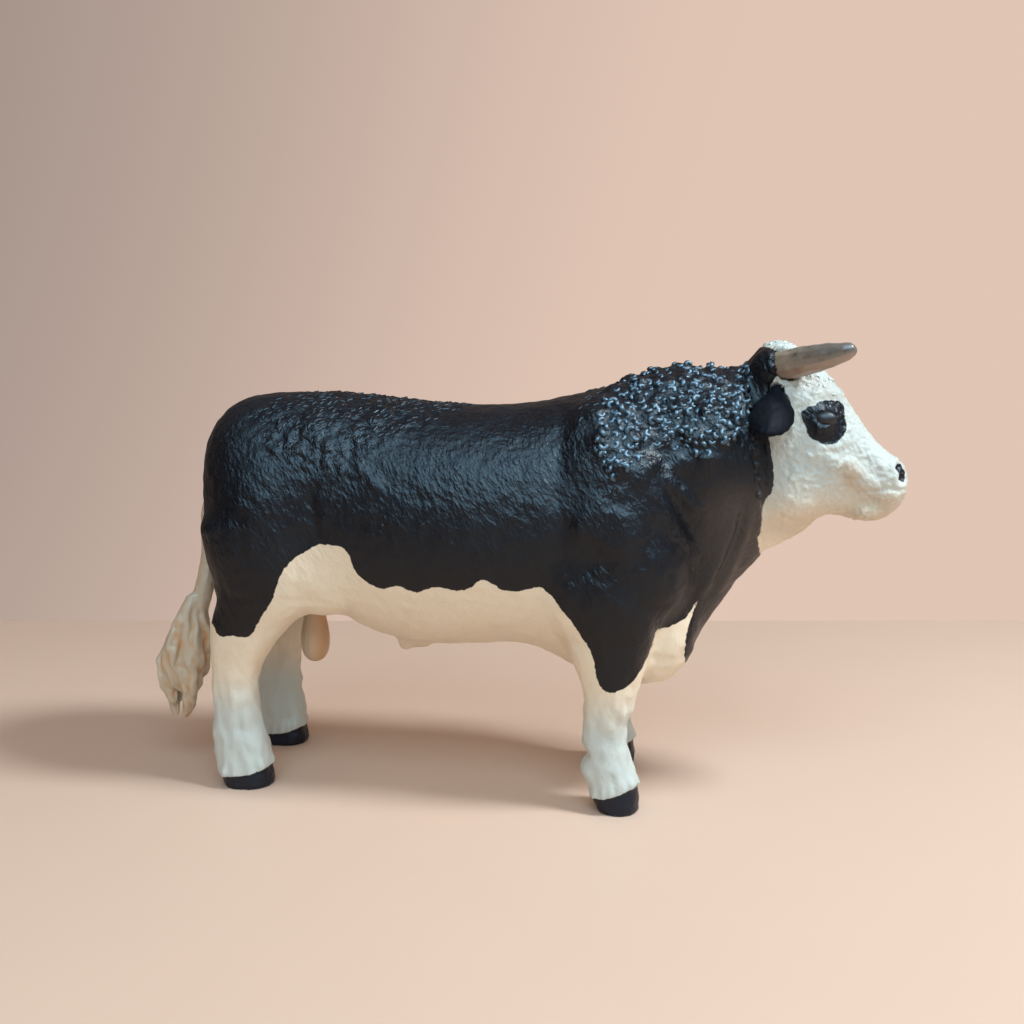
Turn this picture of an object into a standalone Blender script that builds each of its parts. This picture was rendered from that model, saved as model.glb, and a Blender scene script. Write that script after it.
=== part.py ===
"""A toy bull: a standing farm animal figure of solid plastic, in separately moulded pieces.

The trunk carries the head, four legs, the tail and the scrotum on round pegs, and the head
carries two horns and two ears. +X is the way that the bull faces, +Y is its left side and +Z
is up. The origin is on the floor, under the middle of the figure's length.
"""

import math

import bmesh
import bpy
import numpy as np
from mathutils import Euler, Matrix, Vector

# Driving sizes of the trunk, in metres
TRUNK_LENGTH = 0.100  # buttock to the point of the shoulder
RUMP_REACH = 0.0597  # buttock to the origin
BACK_HEIGHT = 0.080  # floor to the crest of the neck
TRUNK_WIDTH = 0.040
TUFT_SIZE = 0.0044
TUFT_RISE = 0.0011

# Driving sizes of the legs
LEG_HEIGHT = 0.040  # floor to where a leg goes into the trunk
LEG_DEPTH = 0.010
LEG_WIDTH = 0.010
LEG_SPREAD = 0.026  # between the middles of a left and a right hoof
LEG_STRIDES = {"foreleg": 0.0029, "hindleg": 0.0035}  # from the right hoof back to the left one
HOOF_CLEFT = 0.0007
HOOF_HEIGHT = 0.0040

# Driving sizes of the head
HEAD_LENGTH = 0.030  # back of the poll to the muzzle
HEAD_WIDTH = 0.020
HEAD_HEIGHT = 0.040
EYE_SIZE = 0.0042
NOSTRIL_SIZE = 0.0016
HORN_LENGTH = 0.0175
HORN_THICKNESS = 0.0053
EAR_LENGTH = 0.0124
EAR_WIDTH = 0.0076
EAR_THICKNESS = 0.0030

# Driving sizes of the tail and the scrotum
TAIL_LENGTH = 0.0602  # height from the root down to the lowest lock
TAIL_SWEEP = 0.0195  # root to the rearmost lock
TAIL_THICKNESS = 0.0042
SWITCH_WIDTH = 0.0088
SCROTUM_LENGTH = 0.0130
SCROTUM_WIDTH = 0.0068

# Pegs, sockets and gaps
GAP = 0.0003
PEG_SIZE = 0.0060
PEG_LENGTH = 0.0040
HEAD_PEG_SIZE = 0.0100
HEAD_PEG_LENGTH = 0.0060
SMALL_PEG_SIZE = 0.0024
SMALL_PEG_LENGTH = 0.0022
OVERRUN = 0.004
WELD = 0.000001

# Fineness of the flesh
TRUNK_GRAIN = 0.0010
HEAD_GRAIN = 0.00055
TAIL_GRAIN = 0.00045
TRUNK_KEPT_SHARE = 0.115
TRUNK_PASSES = 18
LEG_PASSES = 4
TUFT_PASSES = 1
HEAD_KEPT_SHARE = 0.085
TAIL_KEPT_SHARE = 0.07
HEAD_PASSES = 12
LIP_PASSES = 2
LOCK_PASSES = 2
RING_SIDES = 32
PEG_SIDES = 16
TUBE_RESOLUTION = 4
TURN_STEPS = 16
RINGS_PER_STATION = 4
RINGS_PER_POINT = 2

# Trunk stations: along the trunk, belly, back, half width, widest level, fullness above and below
TRUNK_STATION_SHARES = (
    (0.000, 0.640, 0.820, 0.25, 0.725, 2.0, 2.0),
    (0.025, 0.550, 0.870, 0.58, 0.715, 2.1, 2.0),
    (0.075, 0.465, 0.916, 0.84, 0.695, 2.2, 2.1),
    (0.145, 0.418, 0.927, 0.95, 0.680, 2.3, 2.2),
    (0.235, 0.418, 0.927, 0.97, 0.670, 2.4, 2.2),
    (0.335, 0.351, 0.919, 0.99, 0.635, 2.4, 2.1),
    (0.435, 0.325, 0.904, 1.03, 0.618, 2.3, 2.0),
    (0.535, 0.330, 0.898, 1.05, 0.612, 2.3, 2.0),
    (0.635, 0.335, 0.903, 1.03, 0.625, 2.2, 2.0),
    (0.725, 0.280, 0.925, 0.98, 0.640, 2.2, 1.9),
    (0.795, 0.250, 0.945, 0.92, 0.675, 2.1, 1.8),
    (0.855, 0.241, 0.974, 0.84, 0.710, 2.0, 1.6),
    (0.905, 0.285, 0.984, 0.74, 0.750, 2.0, 1.4),
    (0.955, 0.375, 0.978, 0.66, 0.770, 2.0, 1.4),
    (1.005, 0.474, 0.974, 0.60, 0.770, 2.0, 1.5),
    (1.050, 0.550, 1.005, 0.57, 0.770, 1.9, 1.6),
    (1.085, 0.620, 0.990, 0.48, 0.775, 1.9, 2.0),
)

# Muscles on each side: along, out, up, half length, half width, half height, lean in degrees
MUSCLE_SHARES = {
    "thigh": (0.165, 0.50, 0.620, 0.135, 0.55, 0.250, 8),
    "buttock": (0.066, 0.34, 0.690, 0.054, 0.40, 0.130, 8),
    "croup": (0.135, 0.34, 0.790, 0.110, 0.48, 0.105, 4),
    "hip": (0.262, 0.52, 0.810, 0.080, 0.34, 0.075, 0),
    "stifle": (0.255, 0.58, 0.530, 0.085, 0.38, 0.130, -20),
    "shoulder_blade": (0.800, 0.46, 0.690, 0.125, 0.56, 0.235, -14),
    "upper_arm": (0.836, 0.54, 0.530, 0.098, 0.46, 0.140, 18),
    "elbow": (0.742, 0.60, 0.500, 0.080, 0.40, 0.130, 0),
    "neck": (0.945, 0.30, 0.780, 0.130, 0.44, 0.165, 24),
    "brisket": (0.880, 0.24, 0.375, 0.066, 0.34, 0.120, 18),
}

# Swellings on the middle plane: along, up, half length, half width, half height, lean in degrees
MIDDLE_SHARES = {
    "crest": (0.880, 0.880, 0.140, 0.46, 0.092, -4),
    "tail_head": (0.050, 0.815, 0.040, 0.20, 0.060, 30),
}
RIDGE_SHARES = {
    "sheath": (0.412, 0.328, 0.038, 0.10, 0.024, -14),
    "dewlap": (0.972, 0.455, 0.018, 0.12, 0.150, 34),
}

# Tufts of the curled mane: along and up on each side of the trunk, and along its crest
SIDE_TUFT_SHARES = (
    (0.790, 0.930), (0.838, 0.941), (0.886, 0.938), (0.934, 0.944), (0.984, 0.936),
    (0.768, 0.876), (0.814, 0.884), (0.862, 0.880), (0.910, 0.888), (0.958, 0.882), (1.000, 0.886),
    (0.783, 0.818), (0.836, 0.826), (0.886, 0.822), (0.934, 0.832), (0.980, 0.828),
    (0.814, 0.764), (0.862, 0.770), (0.910, 0.774), (0.956, 0.780),
)
CREST_TUFT_SHARES = (0.814, 0.862, 0.910, 0.958, 1.000)

# Places of the right legs along the trunk
LEG_PLACE_SHARES = {"foreleg": 0.800, "hindleg": 0.105}

# Leg stations: height, rear edge, front edge, half width
FORELEG_SHARES = (
    (-0.040, -0.15, 0.40, 0.34),
    (0.000, -0.22, 0.49, 0.42),
    (0.040, -0.37, 0.57, 0.47),
    (0.100, -0.40, 0.49, 0.44),
    (0.150, -0.48, 0.48, 0.42),
    (0.200, -0.55, 0.41, 0.42),
    (0.250, -0.46, 0.34, 0.37),
    (0.300, -0.44, 0.28, 0.35),
    (0.350, -0.53, 0.25, 0.36),
    (0.400, -0.53, 0.30, 0.39),
    (0.475, -0.49, 0.42, 0.44),
    (0.550, -0.52, 0.48, 0.45),
    (0.630, -0.66, 0.58, 0.50),
    (0.800, -0.85, 0.74, 0.62),
    (0.950, -1.00, 0.90, 0.72),
    (1.100, -0.90, 0.90, 0.66),
)
HINDLEG_SHARES = (
    (-0.040, -0.32, 0.44, 0.34),
    (0.000, -0.38, 0.53, 0.42),
    (0.038, -0.49, 0.62, 0.47),
    (0.088, -0.54, 0.50, 0.44),
    (0.138, -0.56, 0.52, 0.43),
    (0.200, -0.56, 0.46, 0.41),
    (0.250, -0.62, 0.40, 0.38),
    (0.320, -0.59, 0.33, 0.36),
    (0.375, -0.59, 0.30, 0.36),
    (0.450, -0.62, 0.28, 0.37),
    (0.530, -0.61, 0.30, 0.38),
    (0.600, -0.63, 0.42, 0.40),
    (0.650, -0.63, 0.55, 0.43),
    (0.710, -0.64, 0.74, 0.46),
    (0.790, -0.60, 1.04, 0.52),
    (0.860, -0.49, 1.45, 0.58),
    (0.950, -0.50, 1.75, 0.66),
    (1.100, -0.65, 1.75, 0.76),
    (1.250, -0.75, 1.55, 0.76),
)
LEG_STATION_SHARES = {"foreleg": FORELEG_SHARES, "hindleg": HINDLEG_SHARES}
LEG_FULLNESS = 2.3
CLEFT_DEPTH_SHARE = 0.30

# Where each leg parts from the trunk: rear end and front end along the leg's place, inner edge,
# inner height and outer height
LEG_SEAM_SHARES = {
    "foreleg": (-1.15, 1.10, 0.16, 0.60, 1.06),
    "hindleg": (-1.15, 1.85, 0.16, 0.76, 1.16),
}

# Head stations: along the head, underside, top, half width, widest level, fullness above and below
HEAD_STATION_SHARES = (
    (0.04, 0.080, 0.835, 0.74, 0.500, 2.0, 2.0),
    (0.14, 0.030, 0.935, 0.90, 0.530, 2.1, 1.8),
    (0.24, 0.045, 0.960, 0.95, 0.560, 2.2, 1.6),
    (0.34, 0.085, 0.945, 0.95, 0.570, 2.2, 1.6),
    (0.43, 0.130, 0.905, 0.93, 0.560, 2.3, 1.7),
    (0.52, 0.195, 0.840, 0.88, 0.530, 2.4, 1.8),
    (0.60, 0.205, 0.765, 0.80, 0.470, 2.4, 2.0),
    (0.68, 0.195, 0.680, 0.71, 0.420, 2.4, 2.1),
    (0.76, 0.180, 0.590, 0.65, 0.380, 2.4, 2.2),
    (0.85, 0.190, 0.510, 0.63, 0.350, 2.4, 2.3),
    (0.93, 0.225, 0.465, 0.58, 0.345, 2.4, 2.3),
    (0.975, 0.260, 0.430, 0.44, 0.345, 2.2, 2.1),
    (0.998, 0.310, 0.390, 0.20, 0.350, 2.0, 2.0),
)

# Swellings on each side of the head: along, out, up, half length, half width, half height, lean
CHEEK_SHARES = {
    "cheek": (0.360, 0.40, 0.390, 0.230, 0.50, 0.230, 30),
    "brow": (0.440, 0.66, 0.660, 0.150, 0.32, 0.075, 40),
    "poll": (0.230, 0.50, 0.845, 0.140, 0.44, 0.100, 0),
    "temple": (0.290, 0.66, 0.700, 0.130, 0.32, 0.110, 0),
    "face_ridge": (0.640, 0.44, 0.470, 0.170, 0.36, 0.060, 44),
}
LIP_SHARES = {
    "nostril_rim": (0.925, 0.34, 0.385, 0.058, 0.24, 0.045, 0),
    "upper_lip": (0.860, 0.34, 0.320, 0.130, 0.30, 0.075, -16),
    "lower_lip": (0.790, 0.26, 0.235, 0.120, 0.34, 0.050, -6),
    "eyelid": (0.487, 0.80, 0.605, 0.088, 0.15, 0.062, 16),
}
FACE_SHARES = {
    "forelock": (0.27, 0.895, 0.140, 0.50, 0.080, 24),
    "forehead": (0.42, 0.770, 0.170, 0.52, 0.090, 48),
    "chin": (0.740, 0.225, 0.110, 0.42, 0.045, 0),
}

# Places on the head, along, out and up, and the seam where it meets the neck
EYE_PLACE_SHARES = (0.487, 0.86, 0.610)
NOSTRIL_PLACE_SHARES = (0.985, 0.42, 0.375)
HEAD_PLACE_SHARES = (1.002, 0.550)  # of the head's lower back corner, along and up the trunk
HEAD_SEAM_SHARE = 0.19  # along the head, at the throat
HEAD_SEAM_LEAN = 7.0  # degrees that the seam leans back
HEAD_PEG_HEIGHT_SHARE = 0.48

# Horns and ears: places of their roots along, out and up the head
HORN_ROOT_SHARES = (0.200, 0.45, 0.855)
HORN_ROUTE_SHARES = (
    (0.00, 0.00, 0.00),
    (0.22, 0.25, 0.03),
    (0.42, 0.42, 0.07),
    (0.62, 0.55, 0.11),
    (0.72, 0.61, 0.14),
    (0.75, 0.625, 0.150),
)
HORN_TAPER_SHARES = (0.90, 1.0, 0.90, 0.66, 0.46, 0.18)
EAR_ROOT_SHARES = (0.235, 0.84, 0.745)
EAR_DROOP = 36.0  # degrees below the level
EAR_SWEEP = -9.0  # degrees ahead of straight out
EAR_TAPER_SHARE = 0.25
EAR_CUP_SHARE = 0.16

# Tail: the place of its root along and up the trunk, then places back from the root, to the right
# of the middle and down, with the thickness there
TAIL_ROOT_SHARES = (0.085, 0.865)
TAIL_ROUTE_SHARES = (
    (0.000, 0.00, 0.000, 0.90),
    (0.305, 0.00, 0.028, 0.95),
    (0.415, 0.00, 0.103, 0.98),
    (0.487, 0.00, 0.203, 0.92),
    (0.508, 0.04, 0.319, 0.88),
    (0.474, 0.10, 0.419, 0.86),
    (0.477, 0.15, 0.502, 0.88),
    (0.523, 0.19, 0.585, 0.92),
    (0.615, 0.21, 0.668, 0.96),
)

# Switch of the tail: places of its middle back and down, then how wide its locks stand apart and
# how thick they are there
SWITCH_LOCKS = 6
SWITCH_TWIST = 3.0  # turn of the locks in radians over the tail's height
SWITCH_ROUTE_SHARES = ((0.57, 0.640), (0.635, 0.745), (0.735, 0.840), (0.765, 0.920), (0.78, 0.988))
SWITCH_SPREAD_SHARES = (0.06, 0.26, 0.35, 0.28, 0.12)
LOCK_THICKNESS_SHARES = (0.14, 0.21, 0.24, 0.19, 0.07)
LOCK_STAGGER_SHARE = 0.05

# Scrotum: its place along and up the trunk, then height down from there and radius
SCROTUM_PLACE_SHARES = (0.198, 0.425)
SCROTUM_PROFILE_SHARES = (
    (1.00, 0.16),
    (0.95, 0.62),
    (0.82, 0.94),
    (0.60, 1.00),
    (0.36, 0.82),
    (0.12, 0.64),
    (0.00, 0.60),
)

# Plastics
WHITE = (0.80, 0.74, 0.66)
BLACK = (0.012, 0.012, 0.015)
GREY = (0.20, 0.18, 0.15)
CREAM = (0.62, 0.50, 0.34)
SHARP_ANGLE = 50.0
STAND = "floor_middle"


def clear_scene():
    for thing in list(bpy.data.objects):
        bpy.data.objects.remove(thing, do_unlink=True)


def new_collection(name):
    collection = bpy.data.collections.new(name)
    bpy.context.scene.collection.children.link(collection)
    return collection


def new_material(name, colour, roughness):
    material = bpy.data.materials.new(name)
    material.use_nodes = True
    shader = material.node_tree.nodes["Principled BSDF"]
    shader.inputs["Base Color"].default_value = (*colour, 1.0)
    shader.inputs["Roughness"].default_value = roughness
    shader.inputs["Metallic"].default_value = 0.0
    material.diffuse_color = (*colour, 1.0)
    return material


def smooth_rows(rows, steps):
    """Rows between the given ones, on a curve that goes through each of them."""
    rows = np.array(rows, float)
    ends = np.vstack([2 * rows[0] - rows[1], rows, 2 * rows[-1] - rows[-2]])
    out = []
    for a, b, c, d in zip(ends, ends[1:], ends[2:], ends[3:]):
        for step in range(steps):
            t = step / steps
            bend = 2 * a - 5 * b + 4 * c - d
            twist = 3 * b - a - 3 * c + d
            out.append(b + ((c - a) * t + bend * t**2 + twist * t**3) / 2)
    out.append(rows[-1])
    return out


def oval(centre, side, up, half_side, above, below, full_above, full_below):
    """A closed ring in the plane of two directions, fuller or slimmer above its centre and below."""
    ring = []
    for step in range(RING_SIDES):
        turn = 2 * math.pi * step / RING_SIDES
        across, rise = math.cos(turn), math.sin(turn)
        reach, full = (above, full_above) if rise >= 0 else (below, full_below)
        out = math.copysign(abs(across) ** (2 / full), across) * half_side
        lift = math.copysign(abs(rise) ** (2 / full), rise) * reach
        ring.append(centre + side * out + up * lift)
    return ring


def loft(mesh, rings):
    """Adds a closed skin through the rings, with a fan over each end."""
    loops = [[mesh.verts.new(point) for point in ring] for ring in rings]
    for first, second in zip(loops, loops[1:]):
        for here in range(RING_SIDES):
            there = (here + 1) % RING_SIDES
            mesh.faces.new((first[here], first[there], second[there], second[here]))
    for loop in (loops[0], loops[-1]):
        middle = mesh.verts.new(sum((v.co for v in loop), Vector()) / RING_SIDES)
        for here in range(RING_SIDES):
            mesh.faces.new((loop[here], loop[(here + 1) % RING_SIDES], middle))


def swelling(mesh, centre, halves, lean):
    """Adds an egg with the given half sizes, leaning forwards by some degrees at its top."""
    place = Matrix.Translation(centre) @ Matrix.Rotation(math.radians(lean), 4, "Y")
    bmesh.ops.create_uvsphere(
        mesh, u_segments=24, v_segments=14, radius=1.0, matrix=place @ Matrix.Diagonal((*halves, 1.0))
    )


def object_of(mesh, name, collection):
    bmesh.ops.recalc_face_normals(mesh, faces=mesh.faces)
    data = bpy.data.meshes.new(name)
    mesh.to_mesh(data)
    mesh.free()
    made = bpy.data.objects.new(name, data)
    collection.objects.link(made)
    return made


def evaluated_mesh(thing):
    """The object's mesh with its modifiers applied."""
    graph = bpy.context.evaluated_depsgraph_get()
    return bpy.data.meshes.new_from_object(thing.evaluated_get(graph), depsgraph=graph)


def fuse(thing, grain, kept_share, passes):
    """Turns overlapping closed skins into one smooth skin with fewer faces."""
    remesh = thing.modifiers.new("fuse", "REMESH")
    remesh.mode = "VOXEL"
    remesh.voxel_size = grain
    soften = thing.modifiers.new("soften", "SMOOTH")
    soften.factor = 0.5
    soften.iterations = round(passes)
    thin = thing.modifiers.new("thin", "DECIMATE")
    thin.ratio = kept_share
    mesh = evaluated_mesh(thing)
    old = thing.data
    thing.modifiers.clear()
    thing.data = mesh
    bpy.data.meshes.remove(old)


def cut(thing, cutter, operation="DIFFERENCE"):
    step = thing.modifiers.new(cutter.name, "BOOLEAN")
    step.operation = operation
    step.solver = "EXACT"
    step.object = cutter


def cut_rooms(thing, rooms):
    """Takes every cutter of a collection out of an object at once."""
    step = thing.modifiers.new(rooms.name, "BOOLEAN")
    step.operation = "DIFFERENCE"
    step.solver = "EXACT"
    step.operand_type = "COLLECTION"
    step.collection = rooms
    step.use_self = True


def helper(thing):
    thing.hide_render = True
    thing.display_type = "WIRE"
    return thing


def finish(thing, material, seat):
    """Applies the piece's cuts, puts its origin at its seat and shades it smooth."""
    mesh = evaluated_mesh(thing)
    mesh.transform(Matrix.Translation(thing.location - seat))
    thing.modifiers.clear()
    thing.data = mesh
    thing.location = seat
    thing.parent = bpy.data.objects[STAND]
    thing.data.name = thing.name
    thing.data.materials.clear()
    thing.data.materials.append(material)
    thing.data.shade_smooth()
    thing.data.set_sharp_from_angle(angle=math.radians(SHARP_ANGLE))
    return thing


def trunk_point(along, out, up):
    return Vector((along * TRUNK_LENGTH - RUMP_REACH, out * TRUNK_WIDTH / 2, up * BACK_HEIGHT))


def head_point(along, out, up):
    """A place in the head, whose lower back corner is a place in the trunk."""
    corner = trunk_point(HEAD_PLACE_SHARES[0], 0, HEAD_PLACE_SHARES[1])
    return corner + Vector((along * HEAD_LENGTH, out * HEAD_WIDTH / 2, up * HEAD_HEIGHT))


def upright_rings(stations, to_point):
    """Rings across the body for stations of the form that the trunk and the head share."""
    rings = []
    for along, low, high, half, level, *fullness in smooth_rows(stations, RINGS_PER_STATION):
        centre = to_point(along, 0, level)
        half_side = to_point(along, half, level).y
        above = to_point(along, 0, high).z - centre.z
        below = centre.z - to_point(along, 0, low).z
        rings.append(oval(centre, Vector((0, 1, 0)), Vector((0, 0, 1)), half_side, above, below, *fullness))
    return rings


def add_swellings(mesh, sided, middle, to_point):
    origin = to_point(0, 0, 0)
    for along, out, up, length, width, height, lean in sided.values():
        halves = to_point(length, width, height) - origin
        for side in (-1, 1):
            swelling(mesh, to_point(along, side * out, up), halves, lean)
    for along, up, length, width, height, lean in middle.values():
        swelling(mesh, to_point(along, 0, up), to_point(length, width, height) - origin, lean)


def add_tuft(mesh, flesh, start, aim):
    """Adds a half sunk tuft where a line from the start first meets the flesh."""
    struck, place, normal, _ = flesh.ray_cast(start, aim)
    if not struck:
        raise RuntimeError("a tuft of the mane misses the trunk")
    turn = normal.to_track_quat("Z", "Y").to_matrix().to_4x4()
    halves = Matrix.Diagonal((TUFT_SIZE / 2, TUFT_SIZE / 2, 2 * TUFT_RISE, 1.0))
    centre = place - normal * TUFT_RISE
    bmesh.ops.create_uvsphere(
        mesh, u_segments=24, v_segments=14, radius=1.0, matrix=Matrix.Translation(centre) @ turn @ halves
    )


def add_tufts(mesh, flesh):
    for along, up in SIDE_TUFT_SHARES:
        for side in (-1, 1):
            add_tuft(mesh, flesh, trunk_point(along, 2 * side, up), Vector((0, -side, 0)))
    for along in CREST_TUFT_SHARES:
        add_tuft(mesh, flesh, trunk_point(along, 0, 2), Vector((0, 0, -1)))


def stride_of(kind, side):
    """How far a leg's hoof stands behind the right one of its pair: the left side is 1, the right -1."""
    return LEG_STRIDES[kind] if side > 0 else 0.0


def leg_point(kind, side, along, up):
    """A place in a leg. The stride fades out towards the trunk."""
    fade = min(max(up, 0.0), 1.0)
    back = stride_of(kind, side) * (1 - fade * fade * (3 - 2 * fade))
    place = trunk_point(LEG_PLACE_SHARES[kind], 0, 0).x
    return Vector((place + along * LEG_DEPTH - back, side * LEG_SPREAD / 2, up * LEG_HEIGHT))


def leg_rings(kind, side):
    ahead = Vector((1, 0, 0))
    full = LEG_FULLNESS
    rings = []
    for up, rear, front, half in smooth_rows(LEG_STATION_SHARES[kind], RINGS_PER_STATION):
        centre = leg_point(kind, side, (rear + front) / 2, up)
        depth = (front - rear) / 2 * LEG_DEPTH
        rings.append(oval(centre, Vector((0, 1, 0)), ahead, half * LEG_WIDTH, depth, depth, full, full))
    return rings


def block(name, low, high, collection):
    """A box between two corners."""
    mesh = bmesh.new()
    bmesh.ops.create_cube(mesh, size=1.0)
    size = high - low
    bmesh.ops.transform(
        mesh, matrix=Matrix.Translation((low + high) / 2) @ Matrix.Diagonal((*size, 1.0)), verts=mesh.verts
    )
    return object_of(mesh, name, collection)


def leg_zone(name, kind, side, floor, grow, collection):
    """The space that a leg takes: a box whose top rises outwards, so that the seam leans."""
    rear, front, inner, inner_height, outer_height = LEG_SEAM_SHARES[kind]
    reach = Vector((grow, 0, grow))
    low = leg_point(kind, -1, rear, 0) - reach
    low.x -= stride_of(kind, side)
    low.z = floor
    high = leg_point(kind, -1, front, outer_height) + reach
    low.y, high.y = sorted((side * (inner * LEG_SPREAD - grow), side * TRUNK_WIDTH))
    zone = block(name, low, high, collection)
    for vertex in zone.data.vertices:
        if vertex.co.z > (low.z + high.z) / 2 and abs(vertex.co.y) < TRUNK_WIDTH / 2:
            vertex.co.z = inner_height * LEG_HEIGHT + grow
    return zone


def peg_axis(kind, side):
    """The middle of a leg's seam and the direction that its peg points in."""
    rear, front, inner, inner_height, outer_height = LEG_SEAM_SHARES[kind]
    start = Vector((0, inner * LEG_SPREAD, inner_height * LEG_HEIGHT))
    end = Vector((0, TRUNK_WIDTH, outer_height * LEG_HEIGHT))
    slope = end - start
    out = LEG_SPREAD / 2 - start.y
    middle = start + slope * (out / slope.y)
    middle.x = leg_point(kind, -1, (rear + front) / 2, 0).x - stride_of(kind, side) / 2
    middle.y *= side
    direction = Vector((0, -slope.z * side, slope.y)).normalized()
    return middle, direction


def rod(name, start, direction, radius, length, sides, collection):
    """A round rod from a point along a direction."""
    mesh = bmesh.new()
    bmesh.ops.create_cone(
        mesh, cap_ends=True, cap_tris=False, segments=sides, radius1=radius, radius2=radius, depth=length
    )
    turn = Vector((0, 0, 1)).rotation_difference(direction).to_matrix().to_4x4()
    place = Matrix.Translation(start + direction * length / 2) @ turn
    bmesh.ops.transform(mesh, matrix=place, verts=mesh.verts)
    return object_of(mesh, name, collection)


def add_peg(name, start, direction, size, length, guides, rooms):
    """A peg that starts inside its own piece, and among the rooms a cutter for its socket."""
    inside = start - direction * length
    helper(rod(name + "_socket", inside, direction, size / 2 + GAP, 2 * length + GAP, PEG_SIDES, rooms))
    return helper(rod(name + "_peg", inside, direction, size / 2, 2 * length, PEG_SIDES, guides))


def tube(name, rows, collection):
    """A tube through rows of a point and a radius, with flat ends."""
    curve = bpy.data.curves.new(name, "CURVE")
    curve.dimensions = "3D"
    curve.bevel_depth = 1.0
    curve.bevel_resolution = TUBE_RESOLUTION
    curve.use_fill_caps = True
    line = curve.splines.new("POLY")
    line.points.add(len(rows) - 1)
    for point, row in zip(line.points, rows):
        point.co = (*row[:3], 1.0)
        point.radius = row[3]
    guide = bpy.data.objects.new(name, curve)
    collection.objects.link(guide)
    mesh = bmesh.new()
    mesh.from_mesh(evaluated_mesh(guide))
    bmesh.ops.remove_doubles(mesh, verts=mesh.verts, dist=WELD)
    bpy.data.objects.remove(guide, do_unlink=True)
    return object_of(mesh, name, collection)


def room(name, rows, collection):
    """A cutter that is a gap wider and longer than the tube with the same rows."""
    first, second = (Vector(row[:3]) for row in rows[:2])
    last, other = Vector(rows[-1][:3]), Vector(rows[-2][:3])
    wider = [(*row[:3], row[3] + GAP) for row in rows]
    before = (*(first + (first - second).normalized() * GAP), wider[0][3])
    after = (*(last + (last - other).normalized() * GAP), wider[-1][3])
    return helper(tube(name, [before, *wider, after], collection))


def build_flesh(collection):
    """Trunk and legs as one smooth skin, before the pieces are parted."""
    mesh = bmesh.new()
    loft(mesh, upright_rings(TRUNK_STATION_SHARES, trunk_point))
    add_swellings(mesh, MUSCLE_SHARES, MIDDLE_SHARES, trunk_point)
    flesh = object_of(mesh, "flesh", collection)
    fuse(flesh, TRUNK_GRAIN, 1.0, TRUNK_PASSES)
    mesh = bmesh.new()
    mesh.from_mesh(flesh.data)
    add_swellings(mesh, {}, RIDGE_SHARES, trunk_point)
    for kind in ("foreleg", "hindleg"):
        for side in (-1, 1):
            loft(mesh, leg_rings(kind, side))
    mesh.to_mesh(flesh.data)
    mesh.free()
    fuse(flesh, TRUNK_GRAIN, 1.0, LEG_PASSES)
    mesh = bmesh.new()
    mesh.from_mesh(flesh.data)
    add_tufts(mesh, flesh)
    mesh.to_mesh(flesh.data)
    mesh.free()
    fuse(flesh, TRUNK_GRAIN, TRUNK_KEPT_SHARE, TUFT_PASSES)
    return helper(flesh)


def build_head(collection):
    """The head as one smooth skin, with its back end still inside the neck."""
    mesh = bmesh.new()
    loft(mesh, upright_rings(HEAD_STATION_SHARES, head_point))
    add_swellings(mesh, CHEEK_SHARES, FACE_SHARES, head_point)
    head = object_of(mesh, "head", collection)
    fuse(head, HEAD_GRAIN, 1.0, HEAD_PASSES)
    mesh = bmesh.new()
    mesh.from_mesh(head.data)
    add_swellings(mesh, LIP_SHARES, {}, head_point)
    along, out, up = EYE_PLACE_SHARES
    for side in (-1, 1):
        swelling(mesh, head_point(along, side * out, up), Vector((1, 1, 1)) * EYE_SIZE / 2, 0)
    mesh.to_mesh(head.data)
    mesh.free()
    fuse(head, HEAD_GRAIN, HEAD_KEPT_SHARE, LIP_PASSES)
    return head


def ball(name, centre, size, collection):
    mesh = bmesh.new()
    bmesh.ops.create_uvsphere(
        mesh, u_segments=12, v_segments=8, radius=size / 2, matrix=Matrix.Translation(centre)
    )
    return object_of(mesh, name, collection)


def seam_cutter(name, ahead, collection):
    """A box with one face on the leaning plane where the head meets the neck, moved ahead a little."""
    reach = BACK_HEIGHT + OVERRUN
    low = Vector((0, -TRUNK_WIDTH, -reach))
    high = Vector((reach, TRUNK_WIDTH, reach))
    box = block(name, low, high, collection)
    box.location = head_point(HEAD_SEAM_SHARE, 0, 0) + Vector((ahead, 0, 0))
    box.rotation_euler = Euler((0, -math.radians(HEAD_SEAM_LEAN), 0))
    return helper(box)


def head_seat():
    """The middle of the head's seam and the direction that its peg points in."""
    lean = math.radians(HEAD_SEAM_LEAN)
    start = head_point(HEAD_SEAM_SHARE, 0, HEAD_PEG_HEIGHT_SHARE)
    start.x -= HEAD_PEG_HEIGHT_SHARE * HEAD_HEIGHT * math.tan(lean)
    return start, Vector((-math.cos(lean), 0, -math.sin(lean)))


def part_head(head, guides, rooms):
    """Ends the head and the neck a gap apart, and pegs the head to the neck."""
    seam_cutter("neck_end", -GAP / 2, rooms)
    cut(head, seam_cutter("head_end", GAP / 2, guides), "INTERSECT")
    start, direction = head_seat()
    cut(head, add_peg("head", start, direction, HEAD_PEG_SIZE, HEAD_PEG_LENGTH, guides, rooms), "UNION")


def bore_nostrils(rooms):
    along, out, up = NOSTRIL_PLACE_SHARES
    for side, word in ((-1, "right"), (1, "left")):
        helper(ball(f"nostril_{word}", head_point(along, side * out, up), NOSTRIL_SIZE, rooms))


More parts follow.
